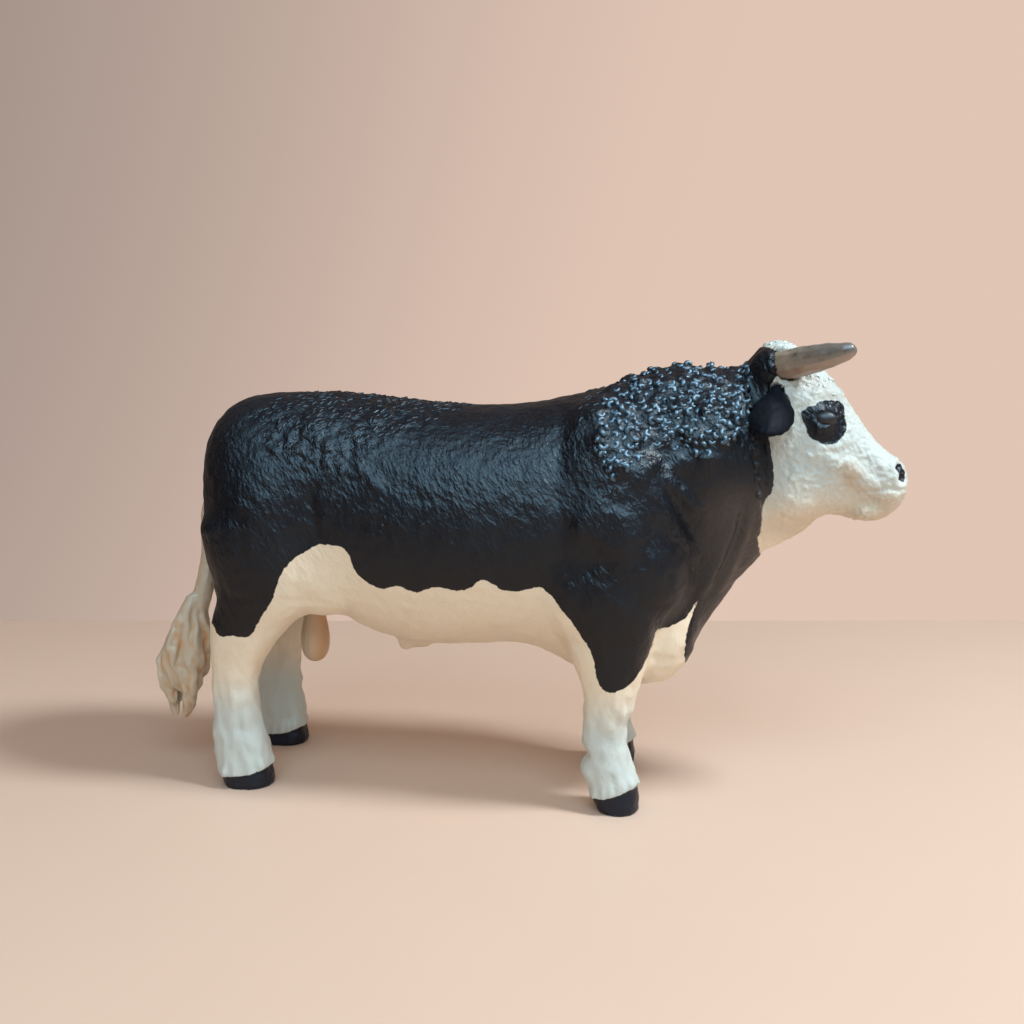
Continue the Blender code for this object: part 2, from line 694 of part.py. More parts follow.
def build_legs(parts, guides, rooms, flesh, material):
    for kind in ("foreleg", "hindleg"):
        for side, word in ((-1, "right"), (1, "left")):
            name = f"{kind}_{word}"
            leg = bpy.data.objects.new(name, flesh.data.copy())
            parts.objects.link(leg)
            start, direction = peg_axis(kind, side)
            peg = add_peg(name, start, direction, PEG_SIZE, PEG_LENGTH, guides, rooms)
            cut(leg, helper(leg_zone(name + "_zone", kind, side, 0, 0, guides)), "INTERSECT")
            cut(leg, peg, "UNION")
            for cleft in hoof_clefts(name, kind, side, guides):
                cut(leg, cleft)
            finish(leg, material, start)
            helper(leg_zone(name + "_room", kind, side, -OVERRUN, GAP, rooms))


def hoof_clefts(name, kind, side, collection):
    """The slots that part a hoof in two toes, at its front and its back."""
    up, rear, front, _ = LEG_STATION_SHARES[kind][2]
    cutters = []
    for end, share, word in ((-1, rear, "back"), (1, front, "front")):
        tip = leg_point(kind, side, share, up)
        edges = sorted((tip.x - end * CLEFT_DEPTH_SHARE * LEG_DEPTH, tip.x + end * OVERRUN))
        low = Vector((edges[0], tip.y - HOOF_CLEFT / 2, -OVERRUN))
        high = Vector((edges[1], tip.y + HOOF_CLEFT / 2, HOOF_HEIGHT))
        cutters.append(helper(block(f"{name}_cleft_{word}", low, high, collection)))
    return cutters


def build_horns(parts, guides, rooms, material):
    for side, word in ((-1, "right"), (1, "left")):
        name = f"horn_{word}"
        root = head_point(*HORN_ROOT_SHARES)
        ends = [
            Vector((root.x + a * HORN_LENGTH, side * (root.y + o * HORN_LENGTH), root.z + u * HORN_LENGTH))
            for a, o, u in HORN_ROUTE_SHARES
        ]
        radii = [size * HORN_THICKNESS / 2 for size in HORN_TAPER_SHARES]
        rows = smooth_rows([(*end, radius) for end, radius in zip(ends, radii)], RINGS_PER_POINT)
        horn = tube(name, rows, parts)
        direction = (ends[0] - ends[1]).normalized()
        peg = add_peg(name, ends[0], direction, SMALL_PEG_SIZE, SMALL_PEG_LENGTH, guides, rooms)
        cut(horn, peg, "UNION")
        room(name + "_room", rows, rooms)
        finish(horn, material, ends[0])


def build_ears(parts, guides, rooms, neck_rooms, material):
    for side, word in ((-1, "right"), (1, "left")):
        name = f"ear_{word}"
        root = head_point(*EAR_ROOT_SHARES)
        root.y *= side
        droop = math.radians(EAR_DROOP)
        ahead = math.sin(math.radians(EAR_SWEEP))
        out = Vector((ahead, side * math.cos(droop), -math.sin(droop))).normalized()
        flat = Vector((0, side * math.sin(droop), math.cos(droop))).normalized()
        wide = flat.cross(out)
        mesh = bmesh.new()
        turn = Matrix((wide, out, flat)).transposed().to_4x4()
        bmesh.ops.create_uvsphere(mesh, u_segments=16, v_segments=10, radius=1.0)
        for vertex in mesh.verts:
            across, reach, rise = vertex.co
            narrow = 1 - EAR_TAPER_SHARE * max(reach, 0) ** 2
            sag = EAR_CUP_SHARE * EAR_WIDTH * across * across
            vertex.co = Vector((
                across * narrow * EAR_WIDTH / 2,
                (reach + 1) * EAR_LENGTH / 2,
                rise * EAR_THICKNESS / 2 - sag,
            ))
        bmesh.ops.transform(mesh, matrix=Matrix.Translation(root) @ turn, verts=mesh.verts)
        ear = object_of(mesh, name, parts)
        start = root + out * (EAR_THICKNESS / 2)
        peg = add_peg(name, start, -out, SMALL_PEG_SIZE, SMALL_PEG_LENGTH, guides, rooms)
        cut(ear, peg, "UNION")
        seat = bpy.data.objects.new(name + "_room", ear.data.copy())
        rooms.objects.link(helper(seat))
        neck_rooms.objects.link(seat)
        swell = seat.modifiers.new("swell", "DISPLACE")
        swell.strength = GAP
        swell.mid_level = 0.0
        finish(ear, material, root)


def tail_point(back, right, down):
    along, up = TAIL_ROOT_SHARES
    return trunk_point(along, 0, up) + Vector((-back * TAIL_SWEEP, -right * LEG_SPREAD, -down * TAIL_LENGTH))


def tail_lock(lock):
    """The middle line of one lock of the switch, and its radii."""
    rows = []
    right = TAIL_ROUTE_SHARES[-1][1]
    stagger = 1 - LOCK_STAGGER_SHARE * (lock % 3)
    shares = zip(SWITCH_ROUTE_SHARES, SWITCH_SPREAD_SHARES, LOCK_THICKNESS_SHARES)
    for (back, down), spread, thick in shares:
        turn = 2 * math.pi * lock / SWITCH_LOCKS + SWITCH_TWIST * down
        centre = tail_point(back, right, down * stagger)
        offset = Vector((math.cos(turn), math.sin(turn), 0)) * spread * SWITCH_WIDTH
        rows.append((*(centre + offset), thick * SWITCH_WIDTH))
    return smooth_rows(rows, RINGS_PER_POINT)


def build_tail(parts, guides, rooms, material):
    rows = [(*tail_point(*row[:3]), row[3] * TAIL_THICKNESS / 2) for row in TAIL_ROUTE_SHARES]
    rows = smooth_rows(rows, RINGS_PER_POINT)
    skins = [tube("tail_bone", rows, guides)]
    for lock in range(SWITCH_LOCKS):
        skins.append(tube("tail_lock", tail_lock(lock), guides))
    mesh = bmesh.new()
    for skin in skins:
        mesh.from_mesh(skin.data)
        bpy.data.objects.remove(skin, do_unlink=True)
    tail = object_of(mesh, "tail", parts)
    fuse(tail, TAIL_GRAIN, TAIL_KEPT_SHARE, LOCK_PASSES)
    room("tail_room", rows, rooms)
    start = Vector(rows[0][:3])
    cut(tail, add_peg("tail", start, Vector((1, 0, 0)), SMALL_PEG_SIZE, PEG_LENGTH, guides, rooms), "UNION")
    finish(tail, material, start)


def turned_bag(name, top, grow, collection):
    """The scrotum's outline turned about its upright axis, and larger all round by the given growth."""
    mesh = bmesh.new()
    rows = smooth_rows(SCROTUM_PROFILE_SHARES, RINGS_PER_POINT)
    line = [(radius * SCROTUM_WIDTH / 2 + grow, -down * SCROTUM_LENGTH) for down, radius in rows]
    line = [(0, line[0][1] - grow), *line, (line[-1][0], grow), (0, grow)]
    points = [mesh.verts.new((radius, 0, height)) for radius, height in line]
    for first, second in zip(points, points[1:]):
        mesh.edges.new((first, second))
    bmesh.ops.remove_doubles(mesh, verts=mesh.verts, dist=WELD)
    bag = object_of(mesh, name, collection)
    bag.location = top
    turn = bag.modifiers.new("turn", "SCREW")
    turn.steps = turn.render_steps = TURN_STEPS
    turn.use_merge_vertices = True
    turn.merge_threshold = WELD
    turn.use_normal_calculate = True
    return bag


def build_scrotum(parts, guides, rooms, material):
    """A turned bag that hangs from the crotch, its neck seated in the trunk."""
    along, up = SCROTUM_PLACE_SHARES
    top = trunk_point(along, 0, up)
    scrotum = turned_bag("scrotum", top, 0, parts)
    helper(turned_bag("scrotum_room", top, GAP, rooms))
    start = top + Vector((0, 0, -PEG_LENGTH / 2))
    peg = add_peg("scrotum", start, Vector((0, 0, 1)), SMALL_PEG_SIZE, PEG_LENGTH, guides, rooms)
    cut(scrotum, peg, "UNION")
    finish(scrotum, material, top)


def main():
    clear_scene()
    parts = new_collection("toy_bull")
    parts.objects.link(bpy.data.objects.new(STAND, None))
    guides = new_collection("cutters")
    trunk_rooms = new_collection("trunk_cutters")
    head_rooms = new_collection("head_cutters")
    white = new_material("white_plastic", WHITE, 0.5)
    black = new_material("black_plastic", BLACK, 0.45)
    grey = new_material("horn_plastic", GREY, 0.4)
    cream = new_material("tail_plastic", CREAM, 0.5)
    flesh = build_flesh(guides)
    trunk = bpy.data.objects.new("torso", flesh.data.copy())
    parts.objects.link(trunk)
    head = build_head(parts)

    build_legs(parts, guides, trunk_rooms, flesh, white)
    part_head(head, guides, trunk_rooms)
    bore_nostrils(head_rooms)
    build_horns(parts, guides, head_rooms, grey)
    build_ears(parts, guides, head_rooms, trunk_rooms, black)
    build_tail(parts, guides, trunk_rooms, cream)
    build_scrotum(parts, guides, trunk_rooms, cream)
    cut_rooms(head, head_rooms)
    finish(head, white, head_seat()[0])
    cut_rooms(trunk, trunk_rooms)
    finish(trunk, black, trunk_point(0, 0, 1))


main()
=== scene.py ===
"""Dresses the packed toy bull: its painted hide, curled mane, head, horns, ears, tail and a plain studio."""

import math

import bmesh
import bpy
import numpy as np
from bpy.props import FloatProperty, FloatVectorProperty, IntProperty, PointerProperty
from mathutils import Matrix, Vector, noise


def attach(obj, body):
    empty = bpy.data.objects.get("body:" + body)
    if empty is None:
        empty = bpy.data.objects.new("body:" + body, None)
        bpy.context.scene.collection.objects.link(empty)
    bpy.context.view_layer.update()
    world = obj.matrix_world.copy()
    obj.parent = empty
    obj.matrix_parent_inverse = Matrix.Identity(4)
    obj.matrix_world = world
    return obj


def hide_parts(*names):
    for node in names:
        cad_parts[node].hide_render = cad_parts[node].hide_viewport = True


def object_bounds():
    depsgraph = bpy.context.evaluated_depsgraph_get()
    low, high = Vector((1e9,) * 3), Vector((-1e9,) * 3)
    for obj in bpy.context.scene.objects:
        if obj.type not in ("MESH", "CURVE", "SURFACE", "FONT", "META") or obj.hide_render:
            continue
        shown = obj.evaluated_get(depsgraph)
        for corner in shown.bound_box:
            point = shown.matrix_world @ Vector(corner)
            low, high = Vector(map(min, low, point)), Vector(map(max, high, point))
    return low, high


bl_info = {
    "name": "Toy bull",
    "version": (1, 0, 0),
    "blender": (4, 5, 0),
    "location": "3D View > Sidebar > Toy bull",
    "description": "Dresses the toy bull's solids and sets up its studio",
    "category": "Object",
}

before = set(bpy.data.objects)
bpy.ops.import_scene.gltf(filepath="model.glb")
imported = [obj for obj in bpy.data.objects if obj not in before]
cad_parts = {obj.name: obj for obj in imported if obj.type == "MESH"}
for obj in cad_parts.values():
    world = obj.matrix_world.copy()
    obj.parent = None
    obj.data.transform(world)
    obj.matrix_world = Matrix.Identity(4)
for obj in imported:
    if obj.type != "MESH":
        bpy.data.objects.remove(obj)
CAD_BOX = [list(corner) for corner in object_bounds()]
BODY = "root"
MM = 0.001
LEGS = ("foreleg_left", "foreleg_right", "hindleg_left", "hindleg_right")
BOX_MARGIN = 0.004  # mm that every vertex keeps inside the CAD box
WELD = 0.001  # mm within which vertices of the copied solids are one
RELAX_STEPS = (0.5, -0.52)  # share of a step towards the neighbours, then of one back
SKIN_SLACK = 0.27  # mm that each copied solid swells by, so that the mould's gaps close
SEAM_SLACK = 0.55  # the same for the solids that meet at the neck
SEAM_REACH = 1.5  # mm on each side of the neck seam where facing walls swell twice as far
# Upper rim of a hoof: x from its middle, and height, in mm.
HOOF_RIMS = {
    "foreleg": ((-4.2, 2.7), (-2.8, 2.8), (-1.0, 3.3), (0.8, 3.9), (2.6, 4.6), (4.2, 5.1)),
    "hindleg": ((-4.3, 2.2), (-0.7, 2.6), (1.7, 2.9), (3.7, 3.5), (5.5, 4.0)),
}
# Bumps of the joints and dewclaws at the back or front of a leg, in mm: x from the hoof's middle, height
# above the floor, size, and how far they stand out.
LEG_BUMPS = {
    "foreleg": (
        (-5.4, 12.6, 1.9, 0.55), (-5.6, 7.2, 1.1, 0.55), (3.4, 12.8, 1.6, 0.3), (-5.2, 10.0, 0.9, -0.5),
    ),
    "hindleg": (
        (-5.6, 10.5, 2.2, 0.5), (4.4, 13.6, 1.1, 0.6), (-5.2, 6.6, 1.2, 0.5), (4.6, 8.6, 1.4, 0.3),
    ),
}

# Outlines in the side view, x and z in mm.
BLACK_COAT = (
    (-56.0, 32.0), (-53.1, 31.1), (-52.3, 29.2), (-50.8, 29.1), (-49.2, 29.5), (-47.2, 29.1), (-45.7, 29.3),
    (-44.9, 30.5), (-44.0, 31.8), (-42.8, 33.7), (-41.6, 35.0), (-40.2, 37.2), (-39.4, 39.6), (-38.6, 41.4),
    (-37.6, 42.7), (-36.6, 44.1), (-34.7, 45.3), (-33.2, 46.2), (-31.7, 47.0), (-30.0, 47.0), (-28.7, 46.7),
    (-27.2, 46.9), (-26.3, 46.0), (-25.6, 44.8), (-25.4, 43.2), (-24.5, 41.6), (-23.2, 40.4), (-21.8, 39.6),
    (-20.7, 39.1), (-19.6, 39.1), (-18.1, 39.7), (-17.2, 39.9), (-16.3, 39.6), (-14.8, 38.9), (-13.7, 38.6),
    (-12.7, 39.0), (-11.2, 39.8), (-9.8, 40.0), (-8.3, 39.7), (-7.3, 39.4), (-5.5, 39.4), (-4.4, 39.8),
    (-3.3, 40.4), (-2.3, 41.4), (-1.6, 41.8), (-0.7, 41.3), (0.2, 40.7), (1.6, 39.8), (3.0, 39.5), (4.4, 39.6),
    (5.8, 40.0), (7.2, 40.2), (8.2, 40.6), (9.4, 39.7), (11.1, 38.4), (12.1, 36.6), (13.2, 35.4), (14.1, 34.3),
    (14.9, 32.9), (16.0, 31.2), (17.0, 29.8), (17.7, 28.1), (17.9, 26.0), (18.3, 24.1), (19.0, 22.8),
    (20.0, 22.3), (20.9, 22.2), (22.2, 22.6), (23.6, 23.4), (24.9, 25.0), (26.1, 27.1), (26.9, 28.9),
    (27.6, 31.2), (28.0, 33.1), (28.8, 32.9), (30.1, 32.9), (31.7, 33.6), (33.3, 34.5), (34.3, 36.5),
    (34.9, 37.2), (34.4, 35.4), (33.5, 33.4), (33.0, 31.2), (32.7, 28.4), (32.7, 25.6), (33.4, 24.0),
    (50.0, 24.0), (50.0, 36.0), (46.0, 44.0), (44.9, 47.7), (45.4, 49.6), (45.7, 51.3), (45.6, 53.0),
    (45.8, 54.7), (47.2, 56.5), (47.5, 59.0), (47.3, 61.0), (46.9, 63.2), (46.5, 65.8), (46.3, 67.3),
    (46.3, 73.5), (46.6, 75.4), (47.8, 76.9), (48.6, 77.8), (48.4, 79.5), (47.2, 81.0), (46.3, 81.7),
    (45.0, 81.9), (44.0, 84.0), (-80.0, 84.0), (-80.0, 32.0),
)
EYE_PATCH = (
    (51.6, 70.5), (52.7, 71.3), (53.9, 71.6), (54.7, 72.3), (56.6, 72.5), (58.3, 72.3), (59.1, 71.3),
    (59.1, 69.8), (59.5, 67.5), (58.9, 66.4), (58.1, 65.6), (57.3, 65.1), (56.2, 64.9), (54.9, 65.2),
    (53.5, 65.9), (52.9, 66.7), (52.5, 67.9), (51.8, 69.3),
)
CURLED_MANE = (
    (17.0, 72.5), (19.6, 75.0), (24.7, 79.5), (30.0, 82.0), (36.0, 82.0), (43.5, 80.0), (43.6, 72.5),
    (42.8, 67.5), (39.2, 64.9), (35.0, 62.0), (31.6, 63.3), (27.3, 65.7), (24.9, 60.6), (21.4, 58.8),
    (18.0, 60.5), (16.2, 67.4),
)
LOIN_HAIR = (
    (-50.0, 68.9), (-46.0, 73.0), (-38.5, 76.0), (-30.8, 78.0), (-21.4, 78.0), (-12.2, 76.0), (-5.0, 74.0),
    (-8.0, 69.0), (-17.8, 65.4), (-23.5, 60.0), (-17.9, 56.5), (-29.2, 58.1), (-36.8, 59.8), (-42.6, 61.6),
)
# Each raised fold or, with a height below 0, each groove of the hide: points (x, z), height, width, in mm.
FOLDS = (
    (((21.2, 64.1), (25.1, 60.7), (27.6, 57.4), (29.4, 53.2), (31.9, 49.0), (33.6, 45.7)), 0.9, 1.9),
    (((27.5, 61.1), (30.4, 58.2), (33.5, 54.9), (35.7, 53.1)), 0.9, 1.3),
    (((26.0, 62.0), (28.2, 59.2), (30.4, 55.8), (32.6, 51.2), (34.6, 47.6)), -0.4, 1.2),
    (((13.0, 52.0), (19.0, 50.5), (26.5, 47.0)), 1.6, 4.2),
    (((41.0, 53.5), (39.9, 48.2), (37.8, 42.9), (35.3, 37.5)), 0.6, 0.9),
    (((43.9, 55.1), (42.8, 49.8), (41.2, 44.5), (39.0, 39.0)), 0.5, 0.8),
    (((42.5, 54.0), (41.4, 49.0), (39.4, 43.5), (37.0, 38.0)), -0.45, 0.7),
    (((37.2, 56.0), (37.4, 50.0), (36.2, 44.0), (34.0, 38.5)), -0.25, 0.8),
    (((-24.9, 61.1), (-22.2, 58.8), (-19.4, 56.8)), 0.4, 1.0),
    (((11.8, 72.0), (11.2, 62.0), (11.6, 52.0), (12.4, 45.0)), -0.45, 1.6),
    (((-32.6, 59.0), (-32.4, 52.0), (-31.4, 47.5)), -0.4, 1.3),
)
MUZZLE_HOLLOW = ((59.8, 60.2), (60.8, 57.4), (63.0, 55.6), (66.0, 54.6))
FACE_FOLDS = (
    (((51.5, 63.5), (55.5, 62.6), (59.5, 60.8), (62.5, 59.4)), 0.4, 1.3),
    (((58.5, 64.6), (61.5, 62.6), (64.5, 60.0), (66.4, 57.6)), -0.3, 1.2),
    (MUZZLE_HOLLOW, -0.45, 1.5),
    (((61.6, 56.4), (64.4, 56.8), (67.0, 57.4), (69.4, 57.2)), -0.3, 0.45),
    (((51.6, 72.9), (54.4, 73.6), (57.4, 73.8), (60.0, 72.6)), 0.45, 0.9),
    (((52.3, 66.2), (55.0, 64.3), (58.4, 64.6), (60.0, 66.6)), 0.25, 0.8),
    (((48.4, 56.8), (51.6, 54.6), (55.0, 54.2)), 0.3, 1.2),
    (((47.6, 52.6), (50.4, 51.4), (53.6, 51.2)), -0.25, 0.7),
)
FOLD_END = 0.35  # share of its height that a fold has at both ends
NECK_SEAM = ((41.3, 84.0), (46.1, 44.0))  # where the head is set on the neck, x and z in mm
HIDE_END = (51.0, 0, 60)  # the hide's skin is cut off here, inside the head, in mm
HEAD_START = (42.0, 0, 60)  # the head's skin is cut off here, inside the neck, in mm
OVERLAP_SINK = 0.7  # mm that one of these skins goes under the other where they overlap
COAT_STEP = 0.22  # mm that the coat's edge stands over the face
TAIL_EXIT = (-60.0, 0.0, 54.0)  # where the tail leaves the rump, in mm
HAUNCH = (-60.0, 14.0, 48.5)  # the widest place of a hind quarter, in mm
SHEATH = (-21.5, 1.3, 1.8, 1.1)  # bump under the belly: x, half length, half width and height, in mm
HOOF_STEP = 0.25  # mm that a hoof stands back from the skin above it
FRINGE = 0.2  # mm that the hair over a hoof stands out
EYE = (55.7, 69.3)  # middle of the eye, x and z in mm
EYE_HALF = (1.7, 1.2)  # half the eye's length and height, in mm
EYE_PIT = 0.7  # mm that the eye lies under the lids
EYE_SUNK = 0.62  # mm that an eyeball's middle lies under the cheek
EYE_SHARES = (1.15, 0.6, 0.8)  # of the eye radius, along x, y and z
LID = (1.4, 0.45, 0.03, 0.1)  # its place and width in eye halves, its height and the upper one's extra, in mm
JAW = ((47.5, 50.5), (51.0, 49.5), (55.5, 51.5), (60.0, 52.0), (66.0, 51.5))
CHEEK = ((47, 56), (47, 70), (53, 64.5), (63, 62.5), (62, 55))
BROW = ((46, 84), (46, 74), (52, 73), (60, 74), (61, 84))
NOSTRIL = ((68.6, 60.9), (69.2, 60.0), (69.1, 59.0))
NOSTRIL_DEPTH = 1.0  # mm
NOSTRIL_RIM = (1.3, 0.4, 0.25)  # its distance, width and height, in mm
NOSTRIL_PAINT = 0.62  # mm from the nostril's line to the edge of its paint
NOSTRIL_SIDES = (1.2, 0.8, 1.0)  # mm from the middle plane where pit, rim and paint start
# Stretches of the face with painted shade, in the muzzle's hollow and under the jaw: path, half width in mm,
# strength.
FACE_SHADES = ((MUZZLE_HOLLOW, 2.0, 0.75), (JAW, 2.2, 0.5))
FAR = 9.0  # mm to a paint edge that is nowhere near
TAIL_COAT = 53.5  # mm above the floor where the tail's black paint ends
TWIST = (10, 0.7, 1.8)  # cords round the switch, their turn for each mm of height, and how they wander
CORDS = (0.3, 0.1)  # mm that the cords stand out, and that all of them stand back
ROOT_SINK = 0.9  # mm that the tail's root goes under the hide
TAIL_WASH = (0.12, 1.1)  # wash everywhere on the tail, and its extra in the grooves
SCROTUM_WASH_AND_GLOW = (0.1, 0.7)  # the same for the scrotum and its front, where the extra is a painted orange glow of light through the plastic
SCROTUM_SHARES = (0.82, 0.9, 1.0)  # of the solid's size that its skin has
MOST_FACES = {"hide": 196000, "head_skin": 150000}
PASSES = {"hide": 8, "head": 10, "worn": 90}  # smoothing passes
KNOB = 0.15  # mm that a horn's rough root stands out
# Face size in mm and smoothing passes of the small pieces.
MOULDS = {"horn": (0.22, 12), "ear": (0.22, 10), "tail": (0.26, 6), "scrotum": (0.3, 10)}
# Layers of lumps: height and size in mm, seed, and a stretch along x, y and z.
LUMPS = {
    "hide": ((0.1, 2.2, 21),),
    "fringe": ((0.3, 0.9, 2, (1, 1, 4)),),
    "legs": ((0.22, 1.4, 5, (1, 1, 2)),),
    "loin": ((0.2, 1.3, 8), (0.2, 2.4, 9)),
    "mane": ((0.3, 1.5, 11), (0.12, 3.2, 12)),
    "cheek": ((0.25, 0.7, 31), (0.15, 1.4, 32)),
    "brow": ((0.25, 1.1, 33), (0.12, 0.6, 34)),
    "face": ((0.1, 0.9, 35), (0.1, 0.5, 36)),
    "horn": ((0.08, 1.6, 41),),
    "horn root": ((0.3, 1.4, 42),),
    "ear": ((0.1, 1.2, 43, (1, 1, 3)),),
    "tail": ((0.05, 1, 52),),
    "switch": ((0.25, 1.3, 53, (1, 1, 3)),),
}
# Where an effect fades in: none of it at the first number, all of it at the second.
# Distances and heights are in mm, and the rest are parts of a normal or shares.
FADES = {
    "fold end": (0, 0.25), "at tail": (9, 5), "at seam": (3.2, 1.6), "at haunch": (7, 4),
    "flank": (0.15, 0.5), "underside": (-0.1, -0.7), "bump side": (0.0, 0.6),
    "fringe start": (-3.2, -0.4), "fringe end": (0.25, -0.1), "in hoof": (-0.1, 0.3), "off floor": (0.5, 1.5),
    "lower leg": (30, 18), "over hoof": (0.8, -0.5), "loin": (-1, 3), "mane": (-1, 2), "neck": (41.5, 44.5),
    "coat side": (-0.1, 0.5), "bare side": (0.05, -0.6), "curls": (-0.6, 0.8), "off crest": (0.97, 0.8),
    "strands": (-0.5, 4), "rim outside": (-5, -0.5), "rim inside": (1, -0.5), "cheek side": (0.1, 0.5),
    "under coat": (0.3, 1.2), "neck side": (51.0, 49.5), "face": (46.5, 48.5), "upper lid": (-0.3, 0.3),
    "eye pit": (1.2, 0.6), "cheek": (0, 3), "brow": (0.5, 4), "nostril": (0.85, 0.3), "white": (-0.3, -1.2),
    "poll": (73.5, 77.5), "horn root": (0.35, 0.05), "switch": (34, 26), "off tip": (0, 5),
    "groove": (0.1, -0.9), "wash patch": (-0.6, 0.6), "tail root": (50, 56), "scrotum glow": (0.35, 0.8),
}


def mesh_arrays(mesh):
    """Vertex places in mm, normals and edges of a mesh."""
    places, normals = (np.empty(len(mesh.vertices) * 3, np.float32) for _ in range(2))
    mesh.vertices.foreach_get("co", places)
    mesh.vertices.foreach_get("normal", normals)
    edges = np.empty(len(mesh.edges) * 2, np.int32)
    mesh.edges.foreach_get("vertices", edges)
    places, normals = (values.reshape(-1, 3).astype(float) for values in (places, normals))
    return places / MM, normals, edges.reshape(-1, 2)


def move_vertices(mesh, places):
    """Moves the vertices to places in mm."""
    mesh.vertices.foreach_set("co", (places * MM).astype(np.float32).ravel())
    mesh.update()


def set_places(mesh, places):
    """Moves the vertices to places in mm, held inside the CAD model's box."""
    low, high = (np.array(corner) / MM for corner in CAD_BOX)
    move_vertices(mesh, np.clip(places, low + BOX_MARGIN, high - BOX_MARGIN))


def add_attribute(mesh, name, values):
    """Stores a number for each vertex, or one for all of them."""
    attribute = mesh.attributes.get(name) or mesh.attributes.new(name, "FLOAT", "POINT")
    attribute.data.foreach_set("value", np.full(len(attribute.data), values, np.float32))


def smoothstep(low, high, values):
    share = np.clip((values - low) / (high - low), 0, 1)
    return share * share * (3 - 2 * share)


def fade(name, values):
    return smoothstep(*FADES[name], values)


def relaxed(places, edges, passes):
    """Smooths the places without shrinking the form."""
    count = len(places)
    a, b = edges[:, 0], edges[:, 1]
    shares = 1 / np.maximum(np.bincount(edges.ravel(), minlength=count), 1)[:, None]
    for step in range(2 * passes):
        sums = np.stack(
            [np.bincount(a, places[b, k], count) + np.bincount(b, places[a, k], count) for k in range(3)], 1
        )
        places = places + RELAX_STEPS[step % 2] * (sums * shares - places)
    return places


def path_distance(points, path):
    """Each point's distance to an open path, and how far along the path that is, from 0 to 1."""
    best = np.full(len(points), 1e9)
    along = np.zeros(len(points))
    path = np.asarray(path, float)
    for index in range(len(path) - 1):
        run = path[index + 1] - path[index]
        x, z = points[:, 0] - path[index, 0], points[:, 1] - path[index, 1]
        share = np.clip((x * run[0] + z * run[1]) / (run @ run), 0, 1)
        gap = (x - share * run[0]) ** 2 + (z - share * run[1]) ** 2
        nearer = gap < best
        best = np.where(nearer, gap, best)
        along = np.where(nearer, (index + share) / (len(path) - 1), along)
    return np.sqrt(best), along


def inside_distance(points, outline):
    """Signed distance to an outline in mm, above 0 inside it."""
    outline = rounded(np.asarray(outline, float))
    gap, _ = path_distance(points, np.vstack([outline, outline[:1]]))
    inside = np.zeros(len(points), bool)
    for (x0, z0), (x1, z1) in zip(outline, np.roll(outline, -1, axis=0)):
        crosses = (z0 > points[:, 1]) != (z1 > points[:, 1])
        if z0 != z1:
            inside ^= crosses & (points[:, 0] < (x1 - x0) * (points[:, 1] - z0) / (z1 - z0) + x0)
    return np.where(inside, gap, -gap)


def rounded(outline):
    """The outline with every corner cut twice, as a brush would round it."""
    for _ in range(2):
        ahead = np.roll(outline, -1, axis=0)
        outline = np.stack([0.75 * outline + 0.25 * ahead, 0.25 * outline + 0.75 * ahead], 1).reshape(-1, 2)
    return outline


def lumps(places, size, seed, stretch=(1, 1, 1)):
    """Soft noise from about -1 to 1 with lumps of this size in mm."""
    scaled = places / (size * np.array(stretch)) + seed * 17.3
    return np.array([noise.noise(Vector(place)) for place in scaled]) * 1.6


def layered(name, places):
    """A region's layers of lumps laid over each other, in mm."""
    return sum(height * lumps(places, *kind) for height, *kind in LUMPS[name])


def link_object(name, mesh):
    thing = bpy.data.objects.new(name, mesh)
    bpy.context.scene.collection.objects.link(thing)
    return thing


def evaluated_copy(thing, name):
    """A plain mesh of the object as its modifiers leave it."""
    bpy.context.view_layer.update()
    graph = bpy.context.evaluated_depsgraph_get()
    mesh = bpy.data.meshes.new_from_object(thing.evaluated_get(graph))
    mesh.name = name
    return mesh


def remove_object(thing):
    mesh = thing.data
    bpy.data.objects.remove(thing)
    bpy.data.meshes.remove(mesh)


def keep_outer_shell(mesh):
    """Deletes every shell of a bmesh but the largest, such as the walls of closed sockets."""
    mesh.verts.ensure_lookup_table()
    seen = [False] * len(mesh.verts)
    shells = []
    for vertex in mesh.verts:
        if seen[vertex.index]:
            continue
        shell, todo = [], [vertex]
        seen[vertex.index] = True
        while todo:
            current = todo.pop()
            shell.append(current)
            for edge in current.link_edges:
                other = edge.other_vert(current)
                if not seen[other.index]:
                    seen[other.index] = True
                    todo.append(other)
        shells.append(shell)
    shells.sort(key=len)
    inner = [vertex for shell in shells[:-1] for vertex in shell]
    bmesh.ops.delete(mesh, geom=inner, context="VERTS")


def moulded_skin(name, nodes, grain, passes, slack=SKIN_SLACK, more=()):
    """One closed skin round copies of the CAD nodes and more meshes, with the mould's soft edges."""
    shape = bmesh.new()
    for solid in (*(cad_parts[node].data for node in nodes), *more):
        shape.from_mesh(solid)
    bmesh.ops.remove_doubles(shape, verts=shape.verts, dist=WELD * MM)
    shape.normal_update()
    (seam_top, top), (seam_foot, foot) = NECK_SEAM
    for vertex in shape.verts:
        seam = seam_top + (seam_foot - seam_top) * (top - vertex.co.z / MM) / (top - foot)
        at_neck = "head" in nodes and abs(vertex.co.x / MM - seam) < SEAM_REACH
        vertex.co += vertex.normal * (slack + at_neck * SEAM_SLACK * abs(vertex.normal.x)) * MM
    mesh = bpy.data.meshes.new(name + " start")
    shape.to_mesh(mesh)
    shape.free()
    thing = link_object(name + " start", mesh)
    remesh = thing.modifiers.new("mould", "REMESH")
    remesh.mode = "VOXEL"
    remesh.voxel_size = grain * MM
    skin = evaluated_copy(thing, name)
    remove_object(thing)
    shape = bmesh.new()
    shape.from_mesh(skin)
    keep_outer_shell(shape)
    shape.to_mesh(skin)
    shape.free()
    places, _, edges = mesh_arrays(skin)
    move_vertices(skin, relaxed(places, edges, passes))
    places, normals, _ = mesh_arrays(skin)
    move_vertices(skin, places - normals * slack)
    return skin


